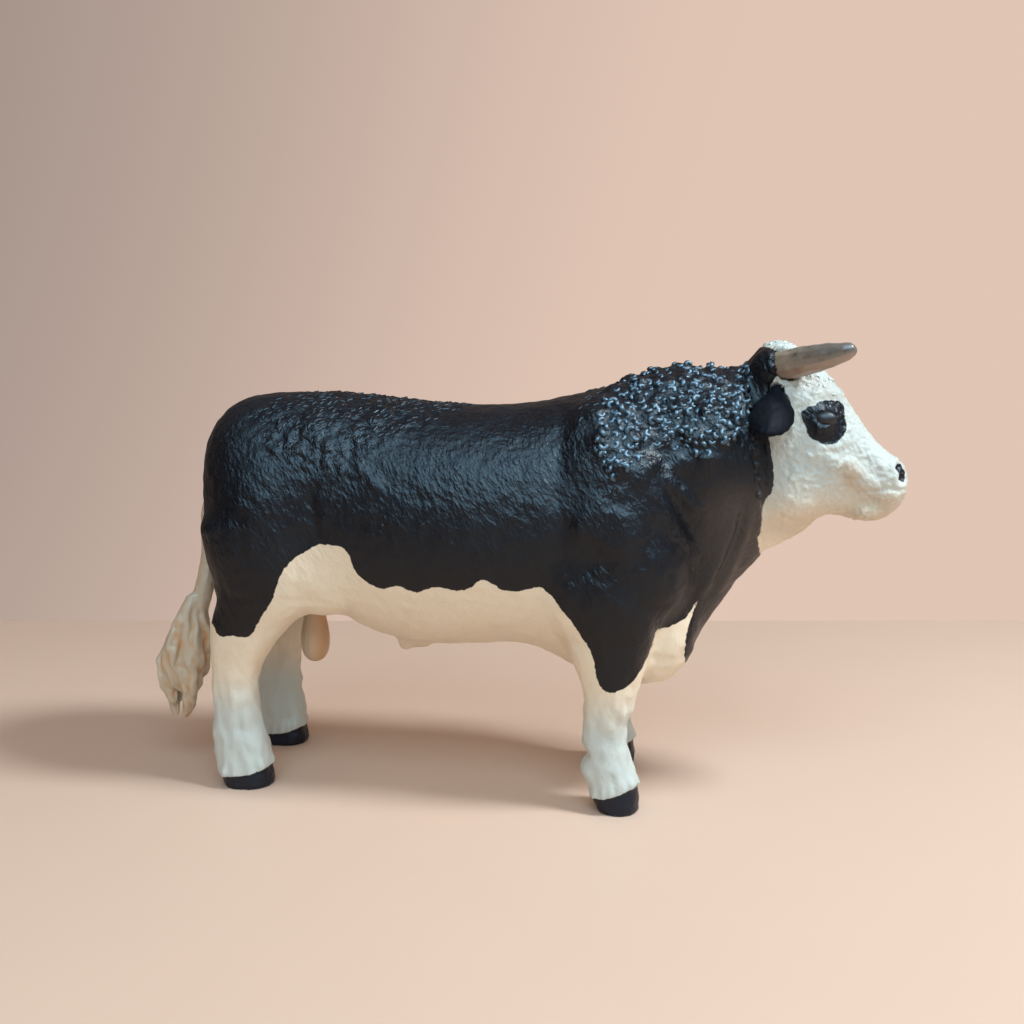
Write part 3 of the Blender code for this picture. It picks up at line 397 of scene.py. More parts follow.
def cut_open(mesh, point, direction):
    """Cuts a closed mesh off past a plane, given in mm, and closes it with a flat face."""
    shape = bmesh.new()
    shape.from_mesh(mesh)
    cut = bmesh.ops.bisect_plane(
        shape, geom=list(shape.verts) + list(shape.edges) + list(shape.faces), dist=1e-7,
        plane_co=Vector(point) * MM, plane_no=Vector(direction), clear_outer=True,
    )
    rim = [item for item in cut["geom_cut"] if isinstance(item, bmesh.types.BMEdge)]
    cap = bmesh.ops.holes_fill(shape, edges=rim, sides=0)["faces"]
    bmesh.ops.triangulate(shape, faces=cap)
    shape.to_mesh(mesh)
    shape.free()
    mesh.update()


def thinned(name, mesh):
    """The mesh with fewer faces where it is plain, and at most its number of triangles."""
    most = MOST_FACES[name]
    count = sum(len(face.vertices) - 2 for face in mesh.polygons)
    if count <= most:
        return mesh
    thing = link_object(name + " full", mesh)
    modifier = thing.modifiers.new("thin", "DECIMATE")
    modifier.ratio = most / count
    thin = evaluated_copy(thing, name)
    remove_object(thing)
    return thin


def fold_height(places, folds):
    """How far the folds raise the hide in mm, the same on both sides."""
    raised = np.zeros(len(places))
    for path, height, width in folds:
        gap, along = path_distance(places[:, [0, 2]], path)
        ends = fade("fold end", along) * fade("fold end", 1 - along)
        raised += height * (FOLD_END + (1 - FOLD_END) * ends) * np.exp(-((gap / width) ** 2))
    return raised


def raise_skin(mesh, places, normals, raised):
    """Moves each vertex out along its normal, by mm."""
    set_places(mesh, places + normals * raised[:, None])


# Materials

# Places in metres over which the paint's tone changes, from none of it to all of it. The warm tone low on the
# body is partly the plastic's own and partly painted warm bounce light from the floor; the paler black low on
# the neck is partly dust and partly a painted warm sheen.
BROWN_BELOW = (0.052, 0.028)
WARM_AND_BOUNCE_BELOW = (0.062, 0.048)
WARM_AND_BOUNCE_ABOVE = (0.012, 0.024)
DUST_AND_SHEEN_AHEAD = (0.033, 0.041)
DUST_AND_SHEEN_BELOW = (0.062, 0.052)
HAIR_ABOVE = (0.03, 0.066)
BARE_ROUGHNESS = 0.38
POLISH_SPREAD = 0.12  # how much handling changes the roughness
SOFT_PLASTIC = {"Subsurface Weight": 0.06, "Subsurface Radius": (0.002, 0.0014, 0.001)}


class Tree:
    """Adds nodes to a tree and links them in one call."""

    def __init__(self, tree):
        self.tree = tree

    def add(self, kind, inputs=(), **settings):
        node = self.tree.nodes.new(kind)
        for name, value in settings.items():
            setattr(node, name, value)
        for key, value in dict(inputs).items():
            if isinstance(value, bpy.types.NodeSocket):
                self.tree.links.new(value, node.inputs[key])
            else:
                node.inputs[key].default_value = value
        return node

    def value(self, kind, inputs=(), **settings):
        """The first output of a new node."""
        return self.add(kind, inputs, **settings).outputs[0]

    def group(self, tree, **inputs):
        """The outputs of a group that is placed with these values."""
        return self.add("ShaderNodeGroup", inputs, node_tree=tree).outputs

    def place(self):
        return self.add("ShaderNodeTexCoord").outputs["Object"]

    def attribute(self, name):
        return self.add("ShaderNodeAttribute", attribute_name=name).outputs["Fac"]

    def noise(self, place, scale, detail, roughness=0.5):
        inputs = {"Vector": place, "Scale": scale, "Detail": detail, "Roughness": roughness}
        return self.value("ShaderNodeTexNoise", inputs)

    def math(self, operation, a, b=0.0, clamp=False):
        return self.value("ShaderNodeMath", {0: a, 1: b}, operation=operation, use_clamp=clamp)

    def times(self, a, b):
        return self.math("MULTIPLY", a, b)

    def plus(self, a, b):
        return self.math("ADD", a, b)

    def mix(self, share, a, b):
        """Blends two colours, each of them a socket or three numbers."""
        a, b = (end if isinstance(end, bpy.types.NodeSocket) else (*end, 1.0) for end in (a, b))
        return self.add("ShaderNodeMix", {0: share, 6: a, 7: b}, data_type="RGBA").outputs[2]

    def ramp(self, value, low, high, start=0.0, end=1.0):
        node = self.add("ShaderNodeMapRange", {0: value, 1: low, 2: high, 3: start, 4: end})
        node.interpolation_type = "SMOOTHSTEP"
        return node.outputs[0]


def new_group(name, inputs, outputs, kind="ShaderNodeTree"):
    """A node group with inputs by their default number or by their type, and outputs by their type."""
    tree = bpy.data.node_groups.new(name, kind)
    for label, given in inputs.items():
        if isinstance(given, str):
            tree.interface.new_socket(label, in_out="INPUT", socket_type=given)
        else:
            number = "NodeSocketInt" if isinstance(given, int) else "NodeSocketFloat"
            tree.interface.new_socket(label, in_out="INPUT", socket_type=number).default_value = given
    for label, given in outputs.items():
        tree.interface.new_socket(label, in_out="OUTPUT", socket_type=given)
    return tree, Tree(tree)


def once(store, name):
    """Lets a maker run only while the file has no item of this name, and gives that item."""

    def decorate(make):
        return lambda: getattr(bpy.data, store).get(name) or make(name)

    return decorate


@once("node_groups", "Brushed paint edge")
def brushed_edge_group(name):
    """A paint edge laid on by brush: the distance to the outline made a mask with a ragged, soft rim."""
    inputs = {"Distance": 0.0, "Raggedness": 0.5, "Softness": 0.12, "Scale": 900.0}
    tree, nodes = new_group(name, inputs, {"Mask": "NodeSocketFloat"})
    given = nodes.add("NodeGroupInput").outputs
    grain = nodes.noise(nodes.place(), given["Scale"], 3.0)
    wander = nodes.times(nodes.math("SUBTRACT", grain, 0.5), given["Raggedness"])
    moved = nodes.plus(given["Distance"], wander)
    mask = nodes.math("ADD", nodes.math("DIVIDE", moved, given["Softness"]), 0.5, clamp=True)
    nodes.add("NodeGroupOutput", {"Mask": mask})
    return tree


@once("node_groups", "Moulded hair")
def moulded_hair_group(name):
    """Fine hair strokes cut in the mould, as a height: long noise that runs down and back."""
    inputs = {"Scale": 500.0, "Length": 5.0, "Lean": 0.5}
    tree, nodes = new_group(name, inputs, {"Height": "NodeSocketFloat"})
    given = nodes.add("NodeGroupInput").outputs
    place = nodes.place()
    turned = nodes.value(
        "ShaderNodeVectorRotate",
        {"Vector": place, "Axis": (0, 1, 0), "Angle": given["Lean"]},
        rotation_type="AXIS_ANGLE",
    )
    x, y, z = nodes.add("ShaderNodeSeparateXYZ", {0: turned}).outputs
    shorter = nodes.math("DIVIDE", z, given["Length"])
    strokes = nodes.value("ShaderNodeCombineXYZ", {0: x, 1: y, 2: shorter})
    ridges = nodes.math("POWER", nodes.noise(strokes, given["Scale"], 3.0, 0.55), 2.0)
    broad = nodes.times(nodes.noise(place, 320.0, 2.0), 0.18)
    nodes.add("NodeGroupOutput", {"Height": nodes.plus(ridges, broad)})
    return tree


@once("node_groups", "Handling marks")
def handled_group(name):
    """Uneven polish and faint soiling from handling, as two masks."""
    masks = {"Polish": "NodeSocketFloat", "Soil": "NodeSocketFloat"}
    tree, nodes = new_group(name, {"Scale": 120.0}, masks)
    given = nodes.add("NodeGroupInput").outputs
    place = nodes.place()
    polish = nodes.noise(place, given["Scale"], 4.0)
    patches = nodes.noise(place, nodes.times(given["Scale"], 3.0), 5.0)
    marks = {"Polish": nodes.ramp(polish, 0.3, 0.7), "Soil": nodes.ramp(patches, 0.52, 0.8)}
    nodes.add("NodeGroupOutput", marks)
    return tree


def new_material(name):
    """A material with its node helper, its shader's inputs and the colours that the user sets."""
    material = bpy.data.materials.new(name)
    material.use_nodes = True
    shader = material.node_tree.nodes["Principled BSDF"].inputs
    return material, Tree(material.node_tree), shader, bpy.context.scene.bull_finish


def finish_shader(nodes, shader, base, rough, height, depth, plain=()):
    """Gives the shader its colour, its roughness, a bump of this depth in metres and plain values."""
    bump = nodes.value("ShaderNodeBump", {"Height": height, "Strength": 1.0, "Distance": depth})
    for socket, value in (("Base Color", base), ("Roughness", rough), ("Normal", bump)):
        nodes.tree.links.new(value, shader[socket])
    for socket, value in dict(plain).items():
        shader[socket].default_value = value


def hide_material(name="Painted hide", depth=0.0004, roughness=0.3, specular=0.28, gloss=0.0, paint="black"):
    """Cream PVC, warmer low on the body, with the black coat and the hooves brushed over it."""
    if name in bpy.data.materials:
        return bpy.data.materials[name]
    material, nodes, shader, finish = new_material(name)
    edge = brushed_edge_group()
    coat = nodes.group(edge, Distance=nodes.attribute("coat"), Raggedness=0.7, Scale=1000.0)[0]
    hoof = nodes.group(edge, Distance=nodes.attribute("hoof"), Raggedness=0.5, Scale=1200.0)[0]
    marks = nodes.group(handled_group(), Scale=90.0)
    ahead, _, up = nodes.add("ShaderNodeSeparateXYZ", {0: nodes.place()}).outputs
    brown = nodes.times(nodes.ramp(up, *BROWN_BELOW), 0.7)
    # Warm cream from about 12 to 62 mm above the floor: partly the plastic's own tone, partly painted warm
    # bounce light from the floor.
    warm_and_bounce = nodes.times(nodes.ramp(up, *WARM_AND_BOUNCE_BELOW), nodes.ramp(up, *WARM_AND_BOUNCE_ABOVE))
    # Paler black low on the front of the neck: partly dust, partly a painted warm sheen that the folds catch.
    dust_and_sheen = nodes.times(nodes.ramp(ahead, *DUST_AND_SHEEN_AHEAD), nodes.ramp(up, *DUST_AND_SHEEN_BELOW))
    black = nodes.mix(brown, getattr(finish, paint), finish.brown_black)
    worn = nodes.mix(nodes.times(dust_and_sheen, 0.8), black, finish.dust_and_sheen_black)
    # Soiling from handling, and painted shade in the face's hollows from the shade attribute.
    soil_and_shade = nodes.math("MAXIMUM", nodes.times(marks["Soil"], 0.18), nodes.attribute("shade"))
    cream = nodes.mix(soil_and_shade, nodes.mix(warm_and_bounce, finish.cream, finish.warm_cream_and_bounce), finish.shade)
    base = nodes.mix(hoof, nodes.mix(coat, cream, worn), finish.hoof)
    painted = nodes.math("MAXIMUM", coat, hoof)
    polish = nodes.times(marks["Polish"], POLISH_SPREAD)
    rough = nodes.plus(polish, nodes.ramp(painted, 0, 1, BARE_ROUGHNESS, roughness))
    hair = nodes.group(moulded_hair_group(), Scale=1250.0, Length=2.0, Lean=0.5)[0]
    deep = nodes.times(nodes.ramp(up, *HAIR_ABOVE, 0.4, 1.0), nodes.ramp(coat, 0, 1, 0.8, 1.0))
    plain = {"Specular IOR Level": specular, "Coat Weight": gloss, "Coat Roughness": 0.36, **SOFT_PLASTIC}
    finish_shader(nodes, shader, base, rough, nodes.times(hair, deep), depth, plain)
    return material


def lock_material():
    """The hide's paint on locks that have their own shape."""
    material = hide_material("Painted locks", 0.00006, 0.45, 1.0, 0.8, "lock_black_and_sheen")
    shader = material.node_tree.nodes["Principled BSDF"]
    shader.inputs["Specular Tint"].default_value = (0.55, 0.82, 1.0, 1.0)
    return material


def strand_material():
    """The hide's paint on the strands laid along the loin."""
    return hide_material("Painted strands", 0.00006, 0.3, 0.4)


def ear_material():
    """The hide's paint, duller on the ears."""
    return hide_material("Painted ears", 0.0001, 0.6, 0.08)


@once("materials", "Painted horn")
def horn_material(name):
    """Grey-brown horn paint: beige at the root, slate on top, pinkish below."""
    material, nodes, shader, finish = new_material(name)
    marks = nodes.group(handled_group(), Scale=260.0)
    streaks = nodes.times(nodes.math("SUBTRACT", marks["Polish"], 0.5), 0.15)
    slate = nodes.ramp(nodes.plus(nodes.attribute("along"), streaks), 0.15, 0.6)
    body = nodes.mix(slate, finish.horn_root, finish.horn)
    stained = nodes.mix(nodes.times(marks["Soil"], 0.6), body, finish.brown_black)
    base = nodes.mix(nodes.ramp(nodes.attribute("top"), 0.0, -0.7), stained, finish.horn_under)
    rough = nodes.plus(nodes.times(marks["Polish"], 0.15), 0.22)
    hair = nodes.group(moulded_hair_group(), Scale=500.0, Length=2.0, Lean=1.4)[0]
    finish_shader(nodes, shader, base, rough, hair, 0.00012)
    return material


@once("materials", "Washed tail")
def tail_material(name):
    """Cream PVC with a tan wash that settles in the switch's grooves."""
    material, nodes, shader, finish = new_material(name)
    marks = nodes.group(handled_group(), Scale=200.0)
    coat = nodes.group(brushed_edge_group(), Distance=nodes.attribute("coat"), Raggedness=0.8)[0]
    uneven = nodes.ramp(marks["Polish"], 0, 1, 0.6, 1.0)
    tan = nodes.math("MULTIPLY", nodes.attribute("wash_and_glow"), uneven, clamp=True)
    base = nodes.mix(coat, nodes.mix(tan, finish.tail, finish.tan), finish.black)
    rough = nodes.plus(nodes.times(marks["Polish"], POLISH_SPREAD), BARE_ROUGHNESS)
    hair = nodes.group(moulded_hair_group(), Scale=700.0, Length=4.0, Lean=0.1)[0]
    finish_shader(nodes, shader, base, rough, hair, 0.00025, SOFT_PLASTIC)
    return material


@once("materials", "Eye paint")
def eye_material(name):
    """Dark brown eye paint with a soft gloss."""
    material, nodes, shader, finish = new_material(name)
    polish = nodes.group(handled_group(), Scale=800.0)["Polish"]
    base = nodes.mix(polish, finish.eye, finish.black)
    finish_shader(nodes, shader, base, nodes.plus(nodes.times(polish, 0.1), 0.4), polish, 0.00002)
    return material


# Hair that stands off the hide

CROWDED = 4e6  # points to a square metre, more than the spacing leaves standing
TAPER = (0.3, 1.4)  # how quickly a lock swells from its ends, and how far past its set thickness
TURN_SEED, SIZE_SEED = 7, 3
# Joints of a lock, how blunt its root is, how far it may spin in radians, and its shift in bends.
LOCKS = {"Curled locks": (8, 0.12, math.pi, 0.0), "Laid strands": (6, 0.3, 0.45, -1.0)}
HAIR_LIE = (-0.45, 0.0, -0.9)
FORELOCK_LIE = (0.5, 0.0, -0.8)


def hair_tree(name):
    """Scatters small tapered locks over a mesh: curled rings, or strands laid along the hair's run."""
    if name in bpy.data.node_groups:
        return bpy.data.node_groups[name]
    joints, blunt, spread, shift = LOCKS[name]
    inputs = {
        "Ground": "NodeSocketGeometry", "Spacing": 0.0012, "Bend": 0.0005, "Sweep": 4.6, "Thickness": 0.0003,
        "Sink": 0.0, "Tilt": 0.4, "Seed": 1, "Finish": "NodeSocketMaterial",
    }
    tree, nodes = new_group(name, inputs, {"Hair": "NodeSocketGeometry"}, "GeometryNodeTree")
    given = nodes.add("NodeGroupInput").outputs
    share = nodes.value("GeometryNodeInputNamedAttribute", {"Name": "hair"}, data_type="FLOAT")
    run = nodes.value("GeometryNodeInputNamedAttribute", {"Name": "run"}, data_type="FLOAT_VECTOR")
    scatter = {
        "Mesh": given["Ground"], "Distance Min": given["Spacing"], "Density Max": CROWDED,
        "Density Factor": share, "Seed": given["Seed"],
    }
    points = nodes.add("GeometryNodeDistributePointsOnFaces", scatter, distribute_method="POISSON").outputs
    half = nodes.times(given["Sweep"], -0.5)
    bow = {"Resolution": joints, "Radius": given["Bend"], "Start Angle": half, "Sweep Angle": given["Sweep"]}
    arc = nodes.value("GeometryNodeCurveArc", bow, mode="RADIUS")
    way = nodes.value("GeometryNodeSplineParameter")
    taper = nodes.times(nodes.math("SUBTRACT", 1.0, way), nodes.plus(way, blunt))
    thick = nodes.times(nodes.math("POWER", taper, TAPER[0]), nodes.times(given["Thickness"], TAPER[1]))
    move = nodes.value("ShaderNodeCombineXYZ", {0: nodes.times(given["Bend"], shift)})
    placed = nodes.value("GeometryNodeSetPosition", {"Geometry": arc, "Offset": move})
    profile = nodes.value("GeometryNodeCurvePrimitiveCircle", {"Resolution": 5, "Radius": 1.0}, mode="RADIUS")
    swept = {"Curve": placed, "Profile Curve": profile, "Scale": thick, "Fill Caps": True}
    lock = nodes.value("GeometryNodeCurveToMesh", swept)
    align = "FunctionNodeAlignRotationToVector"
    upright = nodes.value(align, {"Vector": points["Normal"]}, axis="Z", pivot_axis="AUTO")
    turned = nodes.value(align, {"Rotation": upright, "Vector": run}, axis="Y", pivot_axis="Z")
    ends = {0: (0, 0, -spread), 1: (0, 0, spread), "Seed": given["Seed"]}
    spin = nodes.value("FunctionNodeRandomValue", ends, data_type="FLOAT_VECTOR")
    ends = {2: nodes.times(given["Tilt"], -1.0), 3: given["Tilt"], "Seed": TURN_SEED}
    tip = nodes.add("FunctionNodeRandomValue", ends, data_type="FLOAT").outputs[1]
    lean = nodes.value("ShaderNodeCombineXYZ", {0: tip, 1: nodes.times(tip, 0.6)})
    for angles in (spin, lean):
        turn = nodes.value("FunctionNodeEulerToRotation", {0: angles})
        turned = nodes.value("FunctionNodeRotateRotation", {0: turned, 1: turn}, rotation_space="LOCAL")
    ends = {2: 0.75, 3: 1.25, "Seed": SIZE_SEED}
    size = nodes.add("FunctionNodeRandomValue", ends, data_type="FLOAT").outputs[1]
    planted = {"Points": points["Points"], "Instance": lock, "Rotation": turned, "Scale": size}
    grown = nodes.value("GeometryNodeInstanceOnPoints", planted)
    sunk = nodes.value("ShaderNodeCombineXYZ", {2: given["Sink"]})
    lowered = nodes.value("GeometryNodeTranslateInstances", {0: grown, "Translation": sunk})
    real = nodes.value("GeometryNodeRealizeInstances", {0: lowered})
    smooth = nodes.value("GeometryNodeSetShadeSmooth", {0: real})
    done = nodes.value("GeometryNodeSetMaterial", {"Geometry": smooth, "Material": given["Finish"]})
    nodes.add("NodeGroupOutput", {"Hair": done})
    return tree


def grow_hair(name, ground, share, lie, tree, values, material):
    """A plain mesh of the locks that a tree grows on a copy of the ground, where share is above 0."""
    mesh = ground.copy()
    add_attribute(mesh, "hair", share)
    flow = mesh.attributes.new("run", "FLOAT_VECTOR", "POINT")
    flow.data.foreach_set("vector", np.tile(lie, len(share)).astype(np.float32))
    thing = link_object(name + " ground", mesh)
    modifier = thing.modifiers.new("hair", "NODES")
    modifier.node_group = tree
    values = {**values, "Finish": material}
    for item in tree.interface.items_tree:
        if item.in_out == "INPUT" and item.name in values:
            modifier[item.identifier] = values[item.name]
    hair = evaluated_copy(thing, name)
    remove_object(thing)
    if not hair.polygons:
        raise RuntimeError(f"{name} grew no hair")
    set_places(hair, mesh_arrays(hair)[0])
    for spare in ("hair", "run"):
        if spare in hair.attributes:
            hair.attributes.remove(hair.attributes[spare])
    return dress(link_object(name, hair), material)


def dress(thing, material):
    """Gives a finished piece its material and record slot, and lets it ride on the body."""
    if not thing.data.materials:
        thing.data.materials.append(material)
    for face in thing.data.polygons:
        face.use_smooth = True
    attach(thing, BODY)
    return thing


# Legs and hooves

SOLE_HEIGHT = 4  # mm above the floor up to which a leg's vertices count as its sole
NEAR_LEG = 8  # mm to the side of a leg's middle within which its bumps lie
NEAR_HOOF = (9, 14)  # mm round a hoof's middle and above the floor within which its rim counts
OFF_LEGS = -50.0  # mm below a hoof's rim, for places that are on no leg


def sole_middle(leg):
    solid = np.array([vertex.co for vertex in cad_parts[leg].data.vertices]) / MM
    sole = solid[solid[:, 2] < SOLE_HEIGHT]
    return (sole.min(0) + sole.max(0)) / 2


def leg_bumps(places, normals):
    """How far the joints and dewclaws of the legs stand out, in mm."""
    raised = np.zeros(len(places))
    for leg in LEGS:
        middle = sole_middle(leg)
        near = np.abs(places[:, 1] - middle[1]) < NEAR_LEG
        for along, up, size, height in LEG_BUMPS[leg.split("_")[0]]:
            gap = np.hypot(places[:, 0] - middle[0] - along, places[:, 2] - up)
            facing = fade("bump side", normals[:, 0] * np.sign(along))
            raised += near * facing * height * np.exp(-((gap / size) ** 2))
    return raised


def hoof_depth(places):
    """How far each place is below its hoof's upper rim, in mm, and far below 0 off the legs."""
    depth = np.full(len(places), OFF_LEGS)
    for leg in LEGS:
        middle = sole_middle(leg)
        line = np.array(HOOF_RIMS[leg.split("_")[0]])
        near = (np.abs(places[:, :2] - middle[:2]) < NEAR_HOOF[0]).all(1) & (places[:, 2] < NEAR_HOOF[1])
        top = np.interp(places[:, 0] - middle[0], line[:, 0], line[:, 1])
        depth = np.where(near, top - places[:, 2], depth)
    return depth


# What a user can set


def tint(name, description, default):
    return FloatVectorProperty(
        name=name, description=description, subtype="COLOR", default=default, min=0, max=1
    )


def length(name, description, default, least):
    return FloatProperty(name=name, description=description, unit="LENGTH", default=default, min=least)


def power(name, description, default):
    return FloatProperty(name=name, description=description, unit="POWER", default=default, min=0)


class FinishSettings(bpy.types.PropertyGroup):
    """Colours of the plastic and its paint."""

    black: tint("Black", "Coat paint", (0.005, 0.006, 0.009))
    # Partly dust, partly a painted warm sheen that the neck's lower folds catch.
    dust_and_sheen_black: tint("Worn black", "Coat paint worn pale on the neck's folds", (0.07, 0.057, 0.051))
    # Its blue tint is painted sheen of blue sky light on the curls.
    lock_black_and_sheen: tint("Lock black", "Coat paint on the locks", (0.015, 0.027, 0.039))
    brown_black: tint("Brown black", "Coat paint low on the body", (0.01, 0.007, 0.007))
    # Its cool, slightly green tint is partly painted cool light from the key lamp, as the face and lower legs
    # take it.
    cream: tint("Cream", "Bare plastic", (0.54, 0.6, 0.58))
    # The warm tone is partly the plastic's own and partly painted warm bounce light from the floor on the
    # belly and upper legs.
    warm_cream_and_bounce: tint("Warm cream", "Bare plastic of the belly and the upper legs", (0.78, 0.68, 0.53))
    # Also the colour of the painted shade in the muzzle's hollow and under the jaw.
    shade: tint("Soiled cream", "Soiling on the bare plastic", (0.54, 0.43, 0.31))
    hoof: tint("Hoof", "Hoof paint", (0.008, 0.009, 0.016))
    horn_root: tint("Horn root", "Beige root of a horn", (0.34, 0.29, 0.23))
    horn: tint("Horn", "Slate part of a horn", (0.15, 0.14, 0.125))
    horn_under: tint("Horn underside", "Pinkish underside of a horn", (0.32, 0.24, 0.19))
    # Darker than the body's cream partly as painted shade, where tail and scrotum hang in the body's shadow.
    tail: tint("Tail", "Bare plastic of the tail and scrotum", (0.53, 0.455, 0.35))
    # On the scrotum's front the same tan is a painted glow of light through the plastic.
    tan: tint("Tan", "Wash on the tail and scrotum", (0.55, 0.3, 0.13))
    eye: tint("Eye", "Eye paint", (0.014, 0.008, 0.008))


class HideSettings(bpy.types.PropertyGroup):
    """Sizes of the hide and its hair."""

    grain: length("Grain", "Face size of the hide", 0.00042, 0.0002)
    curl_spacing: length("Curl spacing", "Least distance between curls", 0.00128, 0.0005)
    curl_radius: length("Curl radius", "Middle radius of a curl", 0.0005, 0.0001)
    curl_thickness: length("Curl thickness", "Radius of a curl's lock", 0.00047, 0.00005)
    strand_spacing: length("Strand spacing", "Least distance between strands", 0.0011, 0.0005)
    seed: IntProperty(name="Seed", description="Scatter of the hair", default=4, min=0)


class HeadSettings(bpy.types.PropertyGroup):
    """Sizes of the head's details."""

    grain: length("Grain", "Face size of the head", 0.0003, 0.0002)
    eye_radius: length("Eye radius", "Radius of an eyeball", 0.0016, 0.0003)


class StudioSettings(bpy.types.PropertyGroup):
    """Colours and lamps of the studio."""

    floor: tint("Floor", "Floor mat", (0.71, 0.535, 0.43))
    wall: tint("Wall", "Backdrop that the camera sees", (0.75, 0.56, 0.46))
    wall_shade: tint("Wall shade", "Backdrop at its darker side", (0.35, 0.275, 0.245))
    floor_depth: length("Floor depth", "From the bull to the floor's far edge", 0.151, 0.1)
    window: tint("Window", "Sky light that the gloss of the paint mirrors", (0.35, 0.72, 1.0))
    window_strength: FloatProperty(
        name="Window strength", description="Brightness of that sky light", default=6.0, min=0
    )
    key_power: power("Key power", "Power of the main lamp", 2.9)
    sheen_power: power("Sheen power", "Power of the lamp that the black coat mirrors", 1.6)


def worn_share(places):
    """How far the mould is worn smooth: at the tail's exit, the neck seam and the haunches."""
    seam, _ = path_distance(places[:, [0, 2]], NECK_SEAM)
    haunch = np.linalg.norm(places * (1, 0, 1) + np.abs(places) * (0, 1, 0) - HAUNCH, axis=1)
    at_tail = fade("at tail", np.linalg.norm(places - TAIL_EXIT, axis=1))
    return np.maximum.reduce([at_tail, fade("at seam", seam), fade("at haunch", haunch)])[:, None]


def hide_relief(places, normals):
    """How far folds, bumps, hoof rims and lumps raise the hide, in mm."""
    flat = places[:, [0, 2]]
    raised = fold_height(places, FOLDS) * fade("flank", np.abs(normals[:, 1]))
    middle, half_length, half_width, height = SHEATH
    gap = ((places[:, 0] - middle) / half_length) ** 2 + (places[:, 1] / half_width) ** 2
    raised += height * fade("underside", normals[:, 2]) * np.exp(-gap)
    depth = hoof_depth(places)
    fringe = fade("fringe start", depth) * fade("fringe end", depth)
    raised += fringe * (FRINGE + layered("fringe", places))
    raised -= HOOF_STEP * fade("in hoof", depth) * fade("off floor", places[:, 2])
    raised += fade("lower leg", places[:, 2]) * fade("over hoof", depth) * layered("legs", places)
    raised += leg_bumps(places, normals)
    raised += fade("loin", inside_distance(flat, LOIN_HAIR)) * layered("loin", places)
    raised += fade("mane", inside_distance(flat, CURLED_MANE)) * layered("mane", places)
    raised += layered("hide", places)
    black = inside_distance(flat, BLACK_COAT)
    edge = COAT_STEP * fade("coat side", black) - OVERLAP_SINK * fade("bare side", black)
    return raised + fade("neck", places[:, 0]) * edge


class BULL_OT_hide(bpy.types.Operator):
    """Makes the trunk and legs one painted skin with folds and hooves."""

    bl_idname = "bull.hide"
    bl_label = "Hide"

    def execute(self, context):
        settings = context.scene.bull_hide
        tail_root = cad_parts["tail"].data.copy()
        cut_open(tail_root, TAIL_EXIT, (0, 0, -1))
        nodes = ("torso", "head", *LEGS)
        skin = moulded_skin("hide", nodes, settings.grain / MM, PASSES["hide"], SEAM_SLACK, (tail_root,))
        bpy.data.meshes.remove(tail_root)
        cut_open(skin, HIDE_END, (1, 0, 0))
        places, normals, edges = mesh_arrays(skin)
        places = places + worn_share(places) * (relaxed(places, edges, PASSES["worn"]) - places)
        raise_skin(skin, places, normals, hide_relief(places, normals))
        skin = thinned("hide", skin)
        places, _, _ = mesh_arrays(skin)
        add_attribute(skin, "coat", inside_distance(places[:, [0, 2]], BLACK_COAT))
        add_attribute(skin, "hoof", hoof_depth(places))
        add_attribute(skin, "shade", 0)
        dress(link_object("hide", skin), hide_material())
        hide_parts("torso", *LEGS)
        return {"FINISHED"}


class BULL_OT_coat_hair(bpy.types.Operator):
    """Grows the curled mane and the laid strands of the coat."""

    bl_idname = "bull.coat_hair"
    bl_label = "Coat hair"

    def execute(self, context):
        settings = context.scene.bull_hide
        skin = bpy.data.objects["hide"].data
        places, normals, _ = mesh_arrays(skin)
        in_mane = inside_distance(places[:, [0, 2]], CURLED_MANE)
        mane = fade("curls", in_mane) * fade("off crest", normals[:, 2])
        curls = {
            "Spacing": settings.curl_spacing, "Bend": settings.curl_radius, "Sweep": 3.9,
            "Thickness": settings.curl_thickness, "Sink": -0.00014, "Tilt": 0.6, "Seed": settings.seed,
        }
        grow_hair("mane_curls", skin, mane, HAIR_LIE, hair_tree("Curled locks"), curls, lock_material())
        loin = fade("strands", inside_distance(places[:, [0, 2]], LOIN_HAIR))
        rim = fade("rim outside", in_mane) * fade("rim inside", in_mane) * (places[:, 0] < 30)
        share = np.clip(0.75 * loin + 0.5 * rim, 0, 1)
        strands = {
            "Spacing": settings.strand_spacing, "Bend": 0.0014, "Sweep": 0.9, "Thickness": 0.0003,
            "Sink": -0.00014, "Tilt": 0.2, "Seed": settings.seed + 1,
        }
        tree = hair_tree("Laid strands")
        grow_hair("coat_strands", skin, share, HAIR_LIE, tree, strands, strand_material())
        return {"FINISHED"}


def head_relief(places, normals):
    """How far folds, lids, nostrils and lumps raise the head, in mm."""
    flat = places[:, [0, 2]]
    side = fade("cheek side", np.abs(normals[:, 1]))
    front = fade("face", places[:, 0])
    black = inside_distance(flat, BLACK_COAT)
    raised = -OVERLAP_SINK * fade("under coat", black) * fade("neck side", places[:, 0])
    raised += side * 1.5 * fold_height(places, FACE_FOLDS)
    across, up = (flat - EYE).T
    eye = np.hypot(across / EYE_HALF[0], up / EYE_HALF[1])
    at, width, lower, upper = LID
    lid = (lower + upper * fade("upper lid", up)) * np.exp(-(((eye - at) / width) ** 2))
    raised += side * (lid - EYE_PIT * fade("eye pit", eye))
    raised += front * fade("cheek", inside_distance(flat, CHEEK)) * layered("cheek", places)
    raised += fade("brow", inside_distance(flat, BROW)) * layered("brow", places)
    raised += front * layered("face", places)
    gap, _ = path_distance(flat, NOSTRIL)
    pit, rim, _ = (np.abs(places[:, 1]) > start for start in NOSTRIL_SIDES)
    raised -= NOSTRIL_DEPTH * fade("nostril", gap) * pit
    at, width, height = NOSTRIL_RIM
    return raised + height * np.exp(-(((gap - at) / width) ** 2)) * rim


